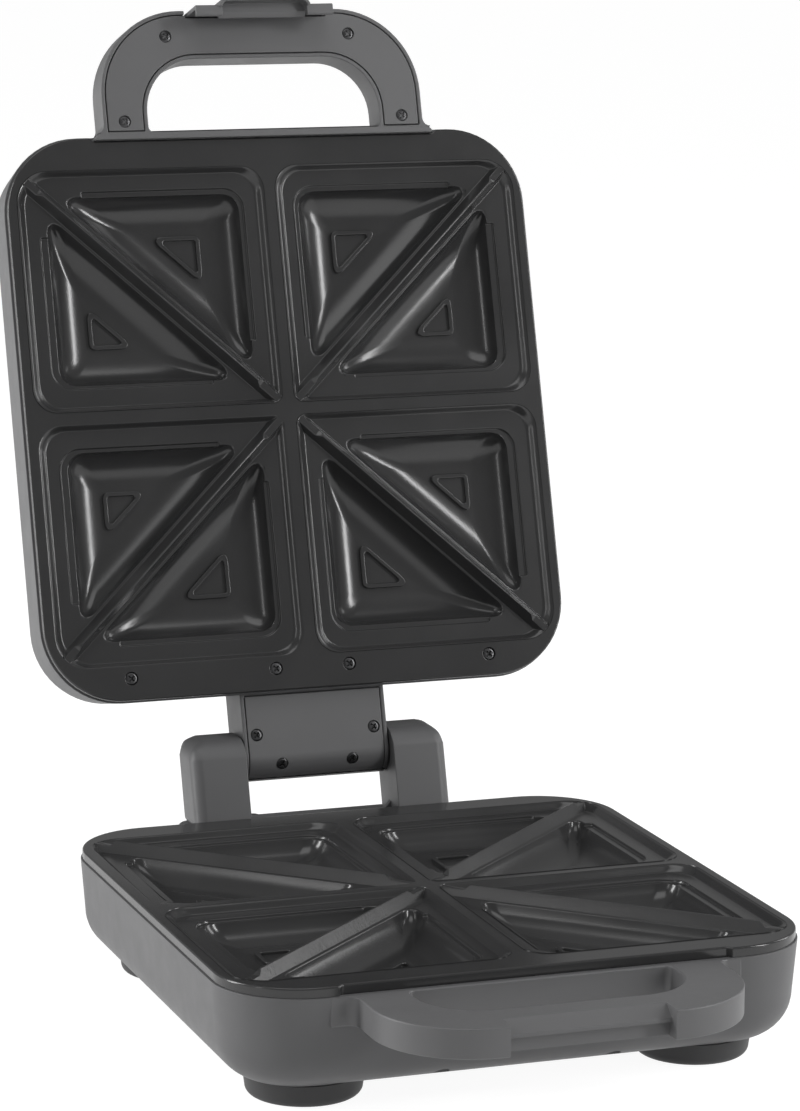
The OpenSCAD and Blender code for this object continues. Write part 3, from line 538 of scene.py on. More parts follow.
def finish_piece(piece, finish, body, nodes, matrix=None):
    """Places, smooths and dresses the piece, and gives it its body and the nodes it shows."""
    if matrix is not None:
        place(piece, matrix)
    hold(piece)
    bpy.ops.object.shade_smooth_by_angle(angle=SMOOTH_ANGLE)
    modify(piece, "WEIGHTED_NORMAL", keep_sharp=True)
    give(piece, finish)
    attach(piece, body)
    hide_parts(*nodes)
    let_go()


# ---------- plates ----------


def plate_slab():
    """The rim plate with its skirt, open below, and the step behind the handle."""
    notch, depth = 88.7, 2.0
    corners = [
        (-PLATE_X, PLATE_FRONT), (-notch - depth, PLATE_FRONT), (-notch, PLATE_FRONT + depth),
        (notch, PLATE_FRONT + depth), (notch + depth, PLATE_FRONT), (PLATE_X, PLATE_FRONT),
        (PLATE_X, PLATE_REAR), (-PLATE_X, PLATE_REAR),
    ]
    rounds = [(PLATE_R, 14)] + [(1.6, 3)] * 4 + [(PLATE_R, 14)] * 3
    slab = prism("plate", corners, rounds, (-SKIRT, -1.0))
    carry_on(slab, (0, 0, 1), round_over(0.95, 4, 1.0))
    hollow = prism(
        "hollow", box_corners((-132, 132), (-134, 136.5)), [(34, 10)] * 4, (-SKIRT - 1, -2.6)
    )
    return cut(slab, hollow)


def pocket_corners(near):
    """The three corners of a filling pocket, with its square corner last."""
    slope = math.tan(RIDGE_ANGLE)
    rise = 5.0 / math.cos(RIDGE_ANGLE)
    if near:
        x, y = 115.0, 16.3
        off = -rise
    else:
        x, y = 15.5, 110.0
        off = rise
    on_x = (x, CELL_Y[0] + (x - CELL_X[0]) * slope + off)
    on_y = (CELL_X[0] + (y - CELL_Y[0] - off) / slope, y)
    return [on_x, on_y, (x, y)]


def incentre(corners):
    """The centre and the radius of the circle inside three corners."""
    sides = [math.dist(corners[i - 2], corners[i - 1]) for i in range(3)]
    total = sum(sides)
    centre = [sum(s * c[k] for s, c in zip(sides, corners)) / total for k in (0, 1)]
    (ax, ay), (bx, by), (cx, cy) = corners
    area = abs((bx - ax) * (cy - ay) - (cx - ax) * (by - ay)) / 2
    return centre, 2 * area / total


def resized(points, centre, factor):
    """The points, moved away from the centre by the factor."""
    return [tuple(c + (p - c) * factor for p, c in zip(point, centre)) for point in points]


def pocket_form(near, steps, grow, drop, flare):
    """A pocket's scooped form, grown by grow and sunk by drop, with a flared mouth."""
    corners = pocket_corners(near)
    centre, reach = incentre(corners)
    first = 1 + (grow + flare) / reach
    rings = [(-flare, 0.0)]
    if flare:
        rings += [(-flare * 0.55, 0.07), (-flare * 0.2, flare * 0.32), (0.0, flare)]
    start = math.asin(rings[-1][1] / POCKET)
    turns = [start + (math.pi / 2 - start) * (i + 1) / steps for i in range(steps)]
    rings += [(SCOOP_RUN * (1 - math.cos(t)), POCKET * math.sin(t)) for t in turns]
    lip = 1.2
    tool = outline(
        "pocket", resized(corners, centre, first),
        [(4.5 * first, 7), (4.5 * first, 7), (9 * first, 9)], -SEAT + lip - drop,
    )
    edit_all(tool)
    push((0, 0, -lip))
    scale = first
    level = 0.0
    for inset, depth in rings[1:]:
        goal = 1 + (grow - inset) / reach
        push((0, 0, level - depth))
        swell([goal / scale] * 2, centre)
        scale, level = goal, depth
    face_out(tool)
    return tool


def cell_tool():
    """The hollow of one bread cell, with its S-shaped wall."""
    tool = outline(
        "cell", box_corners(CELL_X, CELL_Y), [(5, 6), (12, 9), (16, 9), (12, 9)], 1.0
    )
    centre = [sum(span) / 2 for span in (CELL_X, CELL_Y)]
    half = [(span[1] - span[0]) / 2 for span in (CELL_X, CELL_Y)]
    parts, runs = 9, (4.8, 2.9)
    edit_all(tool)
    push((0, 0, -1))
    level = 0.0
    for i in range(1, parts + 1):
        before = [h - r * (i - 1) / parts for h, r in zip(half, runs)]
        after = [h - r * i / parts for h, r in zip(half, runs)]
        depth = SEAT * (1 - math.cos(math.pi * i / parts)) / 2
        push((0, 0, level - depth))
        swell([a / b for a, b in zip(after, before)], centre)
        level = depth
    face_out(tool)
    return tool


def ledge_tool(near):
    """The shallow step along the two outer sides of a pocket."""
    if near:
        corners = [(36.4, 14.1), (119.4, 14.1), (119.4, 91), (113, 91), (113, 18.3), (36.4, 18.3)]
        rounds = [(1.6, 4), (11, 8), (1.6, 4), (1.5, 3), (4, 4), (1.5, 3)]
    else:
        corners = [(12.6, 34.9), (17.5, 34.9), (17.5, 108), (97, 108), (97, 113), (12.6, 113)]
        rounds = [(1.6, 4), (1.5, 3), (4, 4), (1.5, 3), (1.6, 4), (11, 8)]
    tool = prism("ledge", corners, rounds, (-SEAT + 1, -SEAT))
    steps = [(0.22, 0.06), (0.24, 0.22), (0.1, 0.5), (0.12, 0.4), (0.26, 0.24), (0.3, 0.08)]
    return carry_on(tool, (0, 0, -1), steps)


def ridge_bar():
    """The cutting ridge on a cell's diagonal, lower at both ends."""
    seat = -SEAT - 0.5
    top, low = 2.2, -0.12
    section = prism(
        "ridge", [(-3.9, seat), (3.9, seat), (0.34, top), (-0.34, top)], None,
        (0, RIDGE_LEN), "YZ",
    )
    side = prism(
        "side",
        [(1, seat - 1), (169.5, seat - 1), (169.5, low), (159.6, low), (156.6, top),
         (17.2, top), (14.2, low), (1, low)],
        None, (-8, 8), "XZ",
    )
    bar = combine(section, side, "INTERSECT")
    turn = shift(CELL_X[0], CELL_Y[0], 0) @ Matrix.Rotation(RIDGE_ANGLE, 4, "Z")
    return place(bar, turn)


def pocket_mark(near):
    """The raised three-sided ring on a pocket's floor, its top edges rounded."""
    corners = pocket_corners(near)
    centre, reach = incentre(corners)
    floor = -SEAT - POCKET
    top = floor + 1.8
    outer = prism(
        "mark", resized(corners, centre, 1 - 19.0 / reach), [(3.2, 6)] * 3, (floor - 2.5, top)
    )
    inner = prism(
        "inside", resized(corners, centre, 1 - 21.4 / reach), [(1.2, 4)] * 3,
        (floor - 3, floor + 2),
    )
    ring = cut(outer, inner)
    edit(ring, "EDGE")

    def on_top(edge):
        return all(v.co.z > top - 0.1 for v in edge.verts) and edge.calc_face_angle(0) > 0.5

    pick("EDGE", on_top)
    bpy.ops.mesh.bevel(offset=0.7, segments=3, clamp_overlap=False)
    let_go()
    return ring


def plate_casting():
    """One cast plate, drawn with its cells open upwards."""
    plate = plate_slab()
    pan = prism(
        "pan", box_corners((-131, 131), (-123.8, 123.8)), [(13, 6)] * 4, (-SEAT - 2.6, -1.5)
    )
    add(plate, pan)
    add(plate, four_ways(join([pocket_form(n, 4, CAST, CAST, 0.0) for n in (True, False)])))
    cut(plate, four_ways(cell_tool()))
    cut(plate, four_ways(join([ledge_tool(n) for n in (True, False)])))
    tools = [cut(pocket_form(n, 9, 0.0, 0.0, FLARE), pocket_mark(n)) for n in (True, False)]
    cut(plate, four_ways(join(tools)))
    add(plate, four_ways(ridge_bar()))
    return plate


class TOASTER_OT_plates(bpy.types.Operator):
    """Casts the two plates, each with four cells, eight pockets and four cutting ridges"""

    bl_idname = "toaster.plates"
    bl_label = "Cooking Plates"

    def execute(self, context):
        lower = plate_casting()
        upper = twin(lower)
        wells = [rod("well", PLATE_WELL, p, (-1.7, 1.0), 32) for p in UPPER_SCREWS]
        cut(upper, join(wells))
        rows = ((lower, "lower_plate", IN_BASE, "base"), (upper, "upper_plate", IN_LID, "lid"))
        for plate, name, matrix, body in rows:
            soften(plate, 0.32, 2, 38.0)
            plate.name = name + "_casting"
            finish_piece(plate, "coating", body, [name], matrix)
        return {"FINISHED"}


# ---------- housings ----------


def housing_shell(name):
    """A moulded housing: drafted walls, a broad rounded edge and a wall thickness."""
    corners = box_corners((-HOUSING_X, HOUSING_X), (HOUSING_FRONT, HOUSING_REAR))
    shell = outline(name, corners, [(HOUSING_R, 14)] * 4, -SKIRT)
    edit_all(shell)
    shape = bmesh.from_edit_mesh(shell.data)
    if next(iter(shape.faces)).normal.z > 0:
        bpy.ops.mesh.flip_normals()
    step_on([(DRAFT, WALL_HEIGHT)] + round_over(EDGE_R, 12))
    let_go()
    return modify(shell, "SOLIDIFY", thickness=WALL, offset=-1)


def slots(count, pitch):
    """A row of vent slots, as one tool."""
    middles = [(i - (count - 1) / 2) * pitch for i in range(count)]
    outlines = [box_corners((x - 1.5, x + 1.5), (-23.5, 23.5)) for x in middles]
    return join([prism("slot", o, [(1.49, 4)] * 4, THROUGH_FLOOR) for o in outlines])


LOOP_CORNERS = [
    (95, -136.4), (-95, -136.4), (-95, HOUSING_FRONT), (-LOOP_X, HOUSING_FRONT),
    (-LOOP_X, LOOP_FRONT), (LOOP_X, LOOP_FRONT), (LOOP_X, HOUSING_FRONT), (95, HOUSING_FRONT),
]
LOOP_ROUNDS = [(0, 1)] * 3 + [(5, 6), (LOOP_R, 18), (LOOP_R, 18), (5, 6), (0, 1)]


def loop_solid(name, levels):
    """A hand loop with its opening, between two levels."""
    loop = prism(name, LOOP_CORNERS, LOOP_ROUNDS, levels)
    hole = prism(
        "hole", box_corners((-HOLE_X, HOLE_X), (HOLE_FRONT, -140.4)),
        [(HOLE_R, 14), (HOLE_R, 14), (3, 5), (3, 5)], (levels[0] - 1, levels[1] + 1),
    )
    return cut(loop, hole)


def u_form(name, inset, rear, levels):
    """The handle's U, set in from its outline, with its two legs cut off at the rear."""
    outer = prism(
        name, box_corners((-LOOP_X + inset, LOOP_X - inset), (LOOP_FRONT + inset, rear)),
        [(LOOP_R - inset, 18), (LOOP_R - inset, 18), (0, 1), (0, 1)], levels,
    )
    hole = prism(
        "hole", box_corners((-HOLE_X - inset, HOLE_X + inset), (HOLE_FRONT - inset, -120)),
        [(HOLE_R + inset, 14), (HOLE_R + inset, 14), (0, 1), (0, 1)],
        (levels[0] - 1, levels[1] + 1),
    )
    return cut(outer, hole)


class TOASTER_OT_base_housing(bpy.types.Operator):
    """Moulds the base housing with its front handle and rear deck"""

    bl_idname = "toaster.base_housing"
    bl_label = "Base Housing"

    def execute(self, context):
        shell = housing_shell("base_housing_shell")
        cut(shell, slots(9, 8.0))
        cut(shell, join([rod("well", FLOOR_WELL, p, THROUGH_FLOOR) for p in LOWER_SCREWS]))
        soften(shell, 0.35, 2)
        pads = [extrude(disc("pad", 26.4, -49.4, p), (0, 0, 3.4)) for p in FOOT_PLACES]
        join([shell] + pads)
        finish_piece(shell, "housing", "base", ["lower_housing"], IN_BASE)

        lip_z = -SKIRT
        low = lip_z - 13.4
        loop = loop_solid("base_handle_loop", (low, lip_z))
        soften(loop, 0.9, 3)
        hollow = u_form("hollow", WALL, -142, (low - 1, lip_z - WALL))
        cut(hollow, block("solid", (-39.8, 39.8), (-210, -188), (low - 2, 0)))
        ribs = [
            block("rib", (x - 0.8, x + 0.8), (-201, -121), (low - 2, 0))
            for x in (-74, -52, -20, 0, 20, 52, 74)
        ]
        cut(hollow, join(ribs))
        cut(loop, hollow)
        cam = prism(
            "cam",
            [(-190, -3.6), (-190, -4.6), (-197, -9.5), (-197, -11.2), (-193.5, -11.2),
             (-193.5, -19), (-206, -19), (-206, -3.6)],
            None, (-37.2, 37.2), "YZ",
        )
        cut(loop, cam)
        soften(loop, 0.25, 2, 40)
        finish_piece(loop, "handle", "base", ["lower_housing"], IN_BASE)

        deck = prism(
            "hinge_deck", box_corners((-69, 69), (122, 176)),
            [(2, 3), (2, 3), (9, 8), (9, 8)], (-22, -9.5),
        )
        carry_on(deck, (0, 0, 1), round_over(1.3, 4, 1.5))
        carry_on(deck, (0, 0, -1), [(0.6, 2.5), (1.9, 3.5), (5.5, 5.0)])
        gland_hole = place(
            rod("hole", 6.1, (0, 0), (-20, 20)),
            shift(OUTLET[0], OUTLET[1], OUTLET[2] - RIM_Z)
            @ Matrix.Rotation(math.pi / 2, 4, "X"),
        )
        cut(deck, gland_hole)
        face_out(deck)
        finish_piece(deck, "housing", "base", ["lower_housing"], IN_BASE)
        return {"FINISHED"}


class TOASTER_OT_lid_housing(bpy.types.Operator):
    """Moulds the lid housing with its handle trough"""

    bl_idname = "toaster.lid_housing"
    bl_label = "Lid Housing"

    def execute(self, context):
        shell = housing_shell("lid_housing_shell")
        cut(shell, join([rod("lamp_hole", 4.0, (x, LAMP_Y), THROUGH_FLOOR) for x in LAMPS_X]))
        gap_z = [RIM_Z + RIM_GAP - level for level in (94.7, 70.3)]
        arm_gap = block("gap", (-37.7, 37.7), (134.3, 146.3), gap_z)
        cut(shell, arm_gap)
        soften(shell, 0.35, 2)
        finish_piece(shell, "housing", "lid", ["upper_housing"], IN_LID)

        top, low = 2.8, 2.8 - LOOP_DEPTH
        loop = loop_solid("lid_handle_trough", (low, top))
        cut(loop, block("root", (-100, 100), (-140.0, -130), (-SKIRT - 0.2, top + 2)))
        bar = prism(
            "bar",
            [(-88.2, -137.2), (-88.2, -138.5), (-85.7, -141), (85.7, -141),
             (88.2, -138.5), (88.2, -137.2)],
            None, (-SKIRT, top),
        )
        add(loop, bar)
        cut(loop, u_form("recess", 2.0, -141, (top - 2.2, top + 2)))
        cut(loop, block("seat", (-37.2, 37.2), (-204, -188.5), (low + 2.5, top + 5)))
        soften(loop, 0.5, 3)
        finish_piece(loop, "handle", "lid", ["upper_housing"], IN_LID)

        cover = u_form("lid_handle_cover", 2.5, -141.5, (top - 2.2, top))
        cut(cover, block("gap", (-36.8, 36.8), (-204, -197.6), (0, 6)))
        soften(cover, 0.3, 2)
        wells = [rod("well", COVER_WELL, p, (top - 0.9, 6), 32) for p in COVER_SCREWS]
        cut(cover, join(wells))
        finish_piece(cover, "handle", "lid", ["handle_cover"], IN_LID)
        return {"FINISHED"}


# ---------- hinge ----------


def arm_spots():
    """Where the four screws of the arm's cover enter it, two on the flat and two on the curve."""
    spots = []
    for side in (-1, 1):
        spots.append(shift(side * 30.5, 160.4, 70.5) @ DOWN)
        turn = Matrix.Rotation(math.radians(24.6), 4, "X")
        curve = shift(side * 18.3, AXIS_Y, AXIS_Z) @ turn
        spots.append(curve @ shift(0, 0, -BARREL_R) @ DOWN)
    return spots


class TOASTER_OT_hinge(bpy.types.Operator):
    """Builds the two hinge posts, and the lid's arm with its cover"""

    bl_idname = "toaster.hinge"
    bl_label = "Hinge"

    def execute(self, context):
        outer, top = 66.2, 94.4
        post = prism(
            "post", [(143.5, 52), (170.5, 52), (183.4, top), (156.4, top)], None,
            (38.2, outer), "YZ",
        )

        def lies(edge, axis, level):
            return all(v.co[axis] > level - 0.3 for v in edge.verts)

        edit(post, "EDGE")
        for weight, wanted in (
            (0.62, lambda e: lies(e, 0, outer)),
            (0.9, lambda e: lies(e, 2, top) and e.calc_length() > 27.5),
            (1.0, lambda e: lies(e, 0, outer) and lies(e, 2, top)),
        ):
            bpy.ops.mesh.select_all(action="DESELECT")
            pick("EDGE", wanted)
            bpy.ops.transform.edge_bevelweight(value=-1)
            bpy.ops.transform.edge_bevelweight(value=weight)
        let_go()
        modify(post, "BEVEL", limit_method="WEIGHT", width=9.3, segments=8)
        soften(post, 0.5, 2, 60)
        gusset = prism("gusset", [(39, 51), (39, 59), (31.5, 51)], None, (157, 160), "XZ")
        soften(gusset, 0.3, 2)
        join([post, gusset])
        other = twin(post, Matrix.Diagonal((-1, 1, 1, 1)))
        for piece, name in ((post, "right_hinge_post"), (other, "left_hinge_post")):
            piece.name = name + "_moulding"
            finish_piece(piece, "housing", "base", [name], ON_TABLE)

        arm = prism(
            "lid_hinge_arm", box_corners((134.3, 182.5), (70.5, 94.5)),
            [(0, 1), (11.99, 14), (11.99, 14), (0, 1)], (-ARM_X, ARM_X), "YZ",
        )
        sweep = [-90 + 3.5 * i for i in range(21)]
        radii = (BARREL_R, BARREL_R - 2.2, BARREL_R + 3)
        ring, inner, wide = (arc((AXIS_Y, AXIS_Z), radius, sweep) for radius in radii)
        recess = prism(
            "recess", [(140.9, 67.5)] + wide + inner[::-1] + [(140.9, 72.7)], None,
            (-35.3, 35.3), "YZ",
        )
        cut(arm, recess)
        soften(arm, 0.7, 3)
        finish_piece(arm, "housing", "lid", ["hinge_arm"], LID_POSE)

        cover = prism(
            "hinge_arm_cover_plate",
            [(141.3, 70.5)] + ring[:-1] + inner[-2::-1] + [(141.3, 72.7)], None,
            (-35.0, 35.0), "YZ",
        )
        soften(cover, 0.3, 2)
        wells = [place(rod("well", COVER_WELL, (0, 0), (-1.6, 2), 32), m) for m in arm_spots()]
        cut(cover, join(wells))
        finish_piece(cover, "handle", "lid", ["hinge_arm_cover"], LID_POSE)
        return {"FINISHED"}


# ---------- latch ----------


class TOASTER_OT_latch(bpy.types.Operator):
    """Builds the latch that swings on the lid's handle"""

    bl_idname = "toaster.latch"
    bl_label = "Latch"

    def execute(self, context):
        pivot_y, pivot_z, hook_z = -193.0, 68.5, 46.3
        nose = 7.5
        out = pivot_y - nose
        round_front = arc((pivot_y, pivot_z), nose, [180 - 4 * i for i in range(10)])
        corners = [
            (pivot_y, 71.2), (out + 3.0, 71.2), (out + 2.2, 70.4), (out + 2.2, hook_z + 2),
            (-195, hook_z + 2), (-194.7, hook_z + 0.8), (-195.6, hook_z), (out + 0.5, hook_z),
            (out, hook_z + 0.5),
        ] + round_front + [(pivot_y, 73.2)]
        latch = prism("latch_moulding", corners, None, (-35.8, 35.8), "YZ")
        front, roof_z = out - 3, hook_z + 4.5
        tab = prism(
            "tab",
            [(-23.6, out + 1), (-23.6, out), (-21.8, front), (21.8, front), (23.6, out),
             (23.6, out + 1)],
            None, (hook_z - 1.5, hook_z + 14.5),
        )
        add(latch, tab)
        hollow = prism(
            "hollow",
            [(-22.1, -193), (-22.1, out), (-20.4, front + 1.5), (20.4, front + 1.5),
             (22.1, out), (22.1, -193)],
            None, (hook_z - 4, roof_z),
        )
        cut(latch, hollow)
        roof = prism(
            "roof",
            [(out + 1.7, roof_z), (out + 2.9, roof_z), (out + 5.5, roof_z + 1.8),
             (out + 5.5, roof_z + 3.3), (out + 1.7, roof_z + 3.3)],
            None, (-22.6, 22.6), "YZ",
        )
        add(latch, roof)
        knuckles = []
        for side in (-1, 1):
            pin = rod("knuckle", 3.6, (0, 0), (-5, 5))
            turn = shift(side * 30.8, pivot_y, pivot_z)
            knuckles.append(place(pin, turn @ Matrix.Rotation(math.pi / 2, 4, "Y")))
        add(latch, join(knuckles))
        soften(latch, 0.35, 3)
        finish_piece(latch, "handle", "latch", ["latch"], LID_POSE)
        return {"FINISHED"}


# ---------- feet, lamps and cord outlet ----------


class TOASTER_OT_small_mouldings(bpy.types.Operator):
    """Builds the feet, the lamp lenses and the cord outlet"""

    bl_idname = "toaster.small_mouldings"
    bl_label = "Feet, Lenses and Cord Outlet"

    def execute(self, context):
        names = ("foot_front_left", "foot_rear_left", "foot_front_right", "foot_rear_right")
        for (x, y), name in zip(FOOT_PLACES, names):
            foot = disc("foot", FOOT_R, FOOT_TOP, (x, y), 96)
            edit_all(foot)
            push((0, 0, -0.4))
            swell([26.8 / FOOT_R] * 2, (x, y))
            face_out(foot)
            carry_on(foot, (0, 0, -1), [(0.9, 6.2)] + round_over(4.0, 7))
            cut(foot, rod("well", 6.0, (x, y), (-1, 6)))
            soften(foot, 0.4, 3, 40)
            foot.name = name + "_pad"
            finish_piece(foot, "rubber", "base", [name], ON_TABLE)

        dome = [(0.3, 0.3), (0.5, 0.3), (0.9, 0.3), (1.3, 0.25), (1.2, 0.1)]
        for x, node in zip(LAMPS_X, ("power_lamp_lens", "ready_lamp_lens")):
            lens = extrude(disc("lens", 3.9, -41, (x, LAMP_Y), 48), (0, 0, -8))
            cap = disc("cap", 5.0, -49, (x, LAMP_Y), 48)
            extrude(cap, (0, 0, -0.5))
            carry_on(cap, (0, 0, -1), dome)
            join([cap, lens])
            cap.name = node + "_cap"
            finish_piece(cap, "lens", "lid", [node], IN_LID)

        gland = disc("cord_outlet", 9.0, 0.0, (0, 0), 64)
        extrude(gland, (0, 0, 1.2))
        carry_on(gland, (0, 0, 1), round_over(0.8, 4))
        body = extrude(disc("body", 6.0, 0.5, (0, 0), 48), (0, 0, -9))
        add(gland, body)
        cut(gland, rod("bore", 3.6, (0, 0), (-12, 6)))
        soften(gland, 0.3, 2)
        turn = Matrix.Rotation(-math.pi / 2, 4, "X")
        outlet = ON_TABLE @ shift(*OUTLET) @ turn
        finish_piece(gland, "rubber", "base", ["cord_gland"], outlet)
        return {"FINISHED"}


# ---------- screws ----------


def screw_form(head_r, length):
    """A cross-head screw, its head's top at Z = 0, of a head radius and a length."""
    head = disc("screw", head_r, -1.7, (0, 0), 40)
    extrude(head, (0, 0, 1.1))
    carry_on(head, (0, 0, 1), [(0.1, 0.25), (0.3, 0.2), (0.7, 0.15)])
    for turn in (45, 135):
        arm = block("arm", (-1.75, 1.75), (-0.42, 0.42), (-1.3, 1))
        cut(head, place(arm, Matrix.Rotation(math.radians(turn), 4, "Z")))
    soften(head, 0.08, 1, 40)
    shank = extrude(disc("shank", 1.45, -1.6, (0, 0), 24), (0, 0, -length))
    return join([head, shank])


class TOASTER_OT_screws(bpy.types.Operator):
    """Drives the screws of the plates, the handle cover, the hinge arm and the feet"""

    bl_idname = "toaster.screws"
    bl_label = "Screws"

    def execute(self, context):
        sets = [
            ("upper_plate_screws", "lid", 3.0, 20,
             [IN_LID @ shift(*p, -0.35) for p in UPPER_SCREWS]),
            ("handle_cover_screws", "lid", 2.9, 6,
             [IN_LID @ shift(*p, 2.5) for p in COVER_SCREWS]),
            ("hinge_arm_screws", "lid", 2.9, 6,
             [LID_POSE @ m @ shift(0, 0, -0.25) for m in arm_spots()]),
            ("lower_plate_screws", "base", 3.0, 15,
             [IN_BASE @ shift(*p, -24.6) @ DOWN for p in LOWER_SCREWS]),
            ("foot_screws", "base", 4.5, 12,
             [ON_TABLE @ shift(*p, 4.4) @ DOWN for p in FOOT_PLACES]),
        ]
        for node, body, head_r, length, places in sets:
            first = screw_form(head_r, length)
            copies = [twin(first, m) for m in places[1:]]
            place(first, places[0])
            screws = join([first] + copies)
            screws.name = node + "_set"
            finish_piece(screws, "screw", body, [node])
        return {"FINISHED"}


# ---------- finishes and inner parts ----------

INNER_FINISHES = {
    "steel": ("lower_element", "upper_element", "hinge_shaft", "latch_pin", "latch_spring"),
    "reflector": ("lower_reflector", "upper_reflector"),
    "ceramic": ("thermal_cutout", "thermostat", "terminal_block", "lamp_holder"),
    "nylon": ("hinge_bushes",),
    "screw": ("post_screws",),
}


class TOASTER_OT_finishes(bpy.types.Operator):
    """Mixes the finishes and gives the inner parts theirs"""

    bl_idname = "toaster.finishes"
    bl_label = "Finishes"

    def execute(self, context):
        colours = context.scene.toaster_finishes
        grain = build_grain_group()
        coating = build_coating_group()
        drawn = build_brushed_group()
        even, dim, metal = {"Grain": 1.0}, {"Specular IOR Level": 0.4}, {"Metallic": 1.0}
        plain = {"Specular IOR Level": 0.5}
        # Key, name, group, colour, bump strength, roughness, group values, shader values.
        rows = (
            ("coating", "Black Non-stick Coating", coating, colours.coating[:], 0.10, 0.21,
             {"Specks": 0.35}, plain),
            ("housing", "Satin Grey Housing", grain, colours.housing[:], 0.12, 0.48, even, plain),
            ("handle", "Satin Grey Handle", grain, colours.handle[:], 0.12, 0.46, even, plain),
            ("rubber", "Dark Foot Rubber", grain, colours.rubber[:], 0.2, 0.55, even, dim),
            ("nylon", "White Nylon", grain, (0.7, 0.69, 0.64), 0.1, 0.45, even, dim),
            ("ceramic", "Glazed Ceramic", grain, (0.78, 0.75, 0.66), 0.1, 0.35,
             {"Grain": 0.6}, plain),
            ("lens", "Red Lens", grain, (0.5, 0.02, 0.015), 0.03, 0.15,
             {"Grain": 0.3}, {"Coat Weight": 0.4}),
            ("screw", "Blackened Screw Steel", drawn, colours.screw[:], 0.1, 0.34, {}, metal),
            ("steel", "Bright Steel", drawn, (0.56, 0.57, 0.58), 0.1, 0.24, {}, metal),
            ("reflector", "Rolled Aluminium", drawn, (0.75, 0.76, 0.77), 0.08, 0.22, {}, metal),
        )
        for key, name, group, colour, strength, rough, more, shader in rows:
            bump = (strength, 0.0002 if key == "coating" else 0.0001)
            values = {"Base Roughness": rough, **more}
            FINISHES[key] = finish_of(name, group, colour, bump, values, shader)
        for finish, nodes in INNER_FINISHES.items():
            for node in nodes:
                give(frame["nodes"][node], finish)
        return {"FINISHED"}


# ---------- stage ----------


def stage_material(name, shade, shown, glow):
    """Pale to the camera and in reflections, plain to the lamps, and clear from behind."""
    material = bpy.data.materials.new(name)
    material.use_nodes = True
    tree = material.node_tree
    tree.nodes.clear()
    out = tree.nodes.new("ShaderNodeOutputMaterial")
    plain = tree.nodes.new("ShaderNodeBsdfDiffuse")
    socket(plain, "Color", rgba((shade,) * 3))
    held = tree.nodes.new("ShaderNodeBsdfDiffuse")
    socket(held, "Color", rgba((shown,) * 3))
    light = tree.nodes.new("ShaderNodeEmission")
    socket(light, "Color", rgba((1, 1, 1)))
    socket(light, "Strength", glow)
    both = tree.nodes.new("ShaderNodeAddShader")
    path = tree.nodes.new("ShaderNodeLightPath").outputs
    seen = maths(tree, "MAXIMUM", path["Is Camera Ray"], path["Is Glossy Ray"])
    seen = maths(tree, "MAXIMUM", seen, path["Is Transmission Ray"])
    mix, ends = [tree.nodes.new("ShaderNodeMixShader") for _ in range(2)]
    clear = tree.nodes.new("ShaderNodeBsdfTransparent")
    side = tree.nodes.new("ShaderNodeNewGeometry")
    for source, goal in (
        (held.outputs["BSDF"], both.inputs[0]),
        (light.outputs["Emission"], both.inputs[1]),
        (seen, mix.inputs["Fac"]),
        (plain.outputs["BSDF"], mix.inputs[1]),
        (both.outputs["Shader"], mix.inputs[2]),
        (side.outputs["Backfacing"], ends.inputs["Fac"]),
        (mix.outputs["Shader"], ends.inputs[1]),
        (clear.outputs["BSDF"], ends.inputs[2]),
        (ends.outputs["Shader"], out.inputs["Surface"]),
    ):
        tree.links.new(source, goal)
    return material


LAMP_TARGET = (0.0, 0.0, 0.2)
# Each lamp's name, place, width and height in metres, and power in watts.
LAMPS = (
    ("Left Strip", (-2.0, 0.6, 0.8), (0.5, 1.9), 42),
    ("Left Front", (-1.85, -0.75, 1.0), (0.14, 1.3), 4),
    ("Right Front", (1.5, -1.25, 0.95), (0.28, 1.4), 24),
    ("Right Side", (2.2, 0.1, 0.9), (0.5, 1.3), 12),
    ("Overhead", (-0.2, -0.4, 2.2), (1.5, 1.2), 11),
)
# How bright the sky is as a lamp, and as the camera sees it.
SKY_LIGHT, SKY_SEEN = 0.27, 1.0

# The camera's place in metres, its azimuth, elevation and roll in degrees, and its lens.
CAMERA_AT = (-0.64074, -1.77327, 0.57259)
CAMERA_TURN = (-19.88, 11.0, 0.44)
LENS_MM, SENSOR_MM = 134.47, 36.0


def lamp(name, where, size, power):
    """A rectangular soft lamp that faces the toaster."""
    data = bpy.data.lights.new(name, "AREA")
    data.shape = "RECTANGLE"
    data.size, data.size_y = size
    data.energy = power
    item = bpy.data.objects.new(name, data)
    bpy.context.scene.collection.objects.link(item)
    item.location = where
    way = Vector(LAMP_TARGET) - Vector(where)
    item.rotation_euler = way.to_track_quat("-Z", "Y").to_euler()


def camera_matrix():
    """The camera's place, looking back along its azimuth and elevation."""
    azimuth, elevation, roll = map(math.radians, CAMERA_TURN)
    back = Vector((
        math.sin(azimuth) * math.cos(elevation),
        -math.cos(azimuth) * math.cos(elevation),
        math.sin(elevation),
    ))
    right = Vector((math.cos(azimuth), math.sin(azimuth), 0))
    up = back.cross(right)
    c, s = math.cos(roll), math.sin(roll)
    right, up = right * c + up * s, up * c - right * s
    turn = Matrix((right, up, back)).transposed().to_4x4()
    return shift(*CAMERA_AT) @ turn


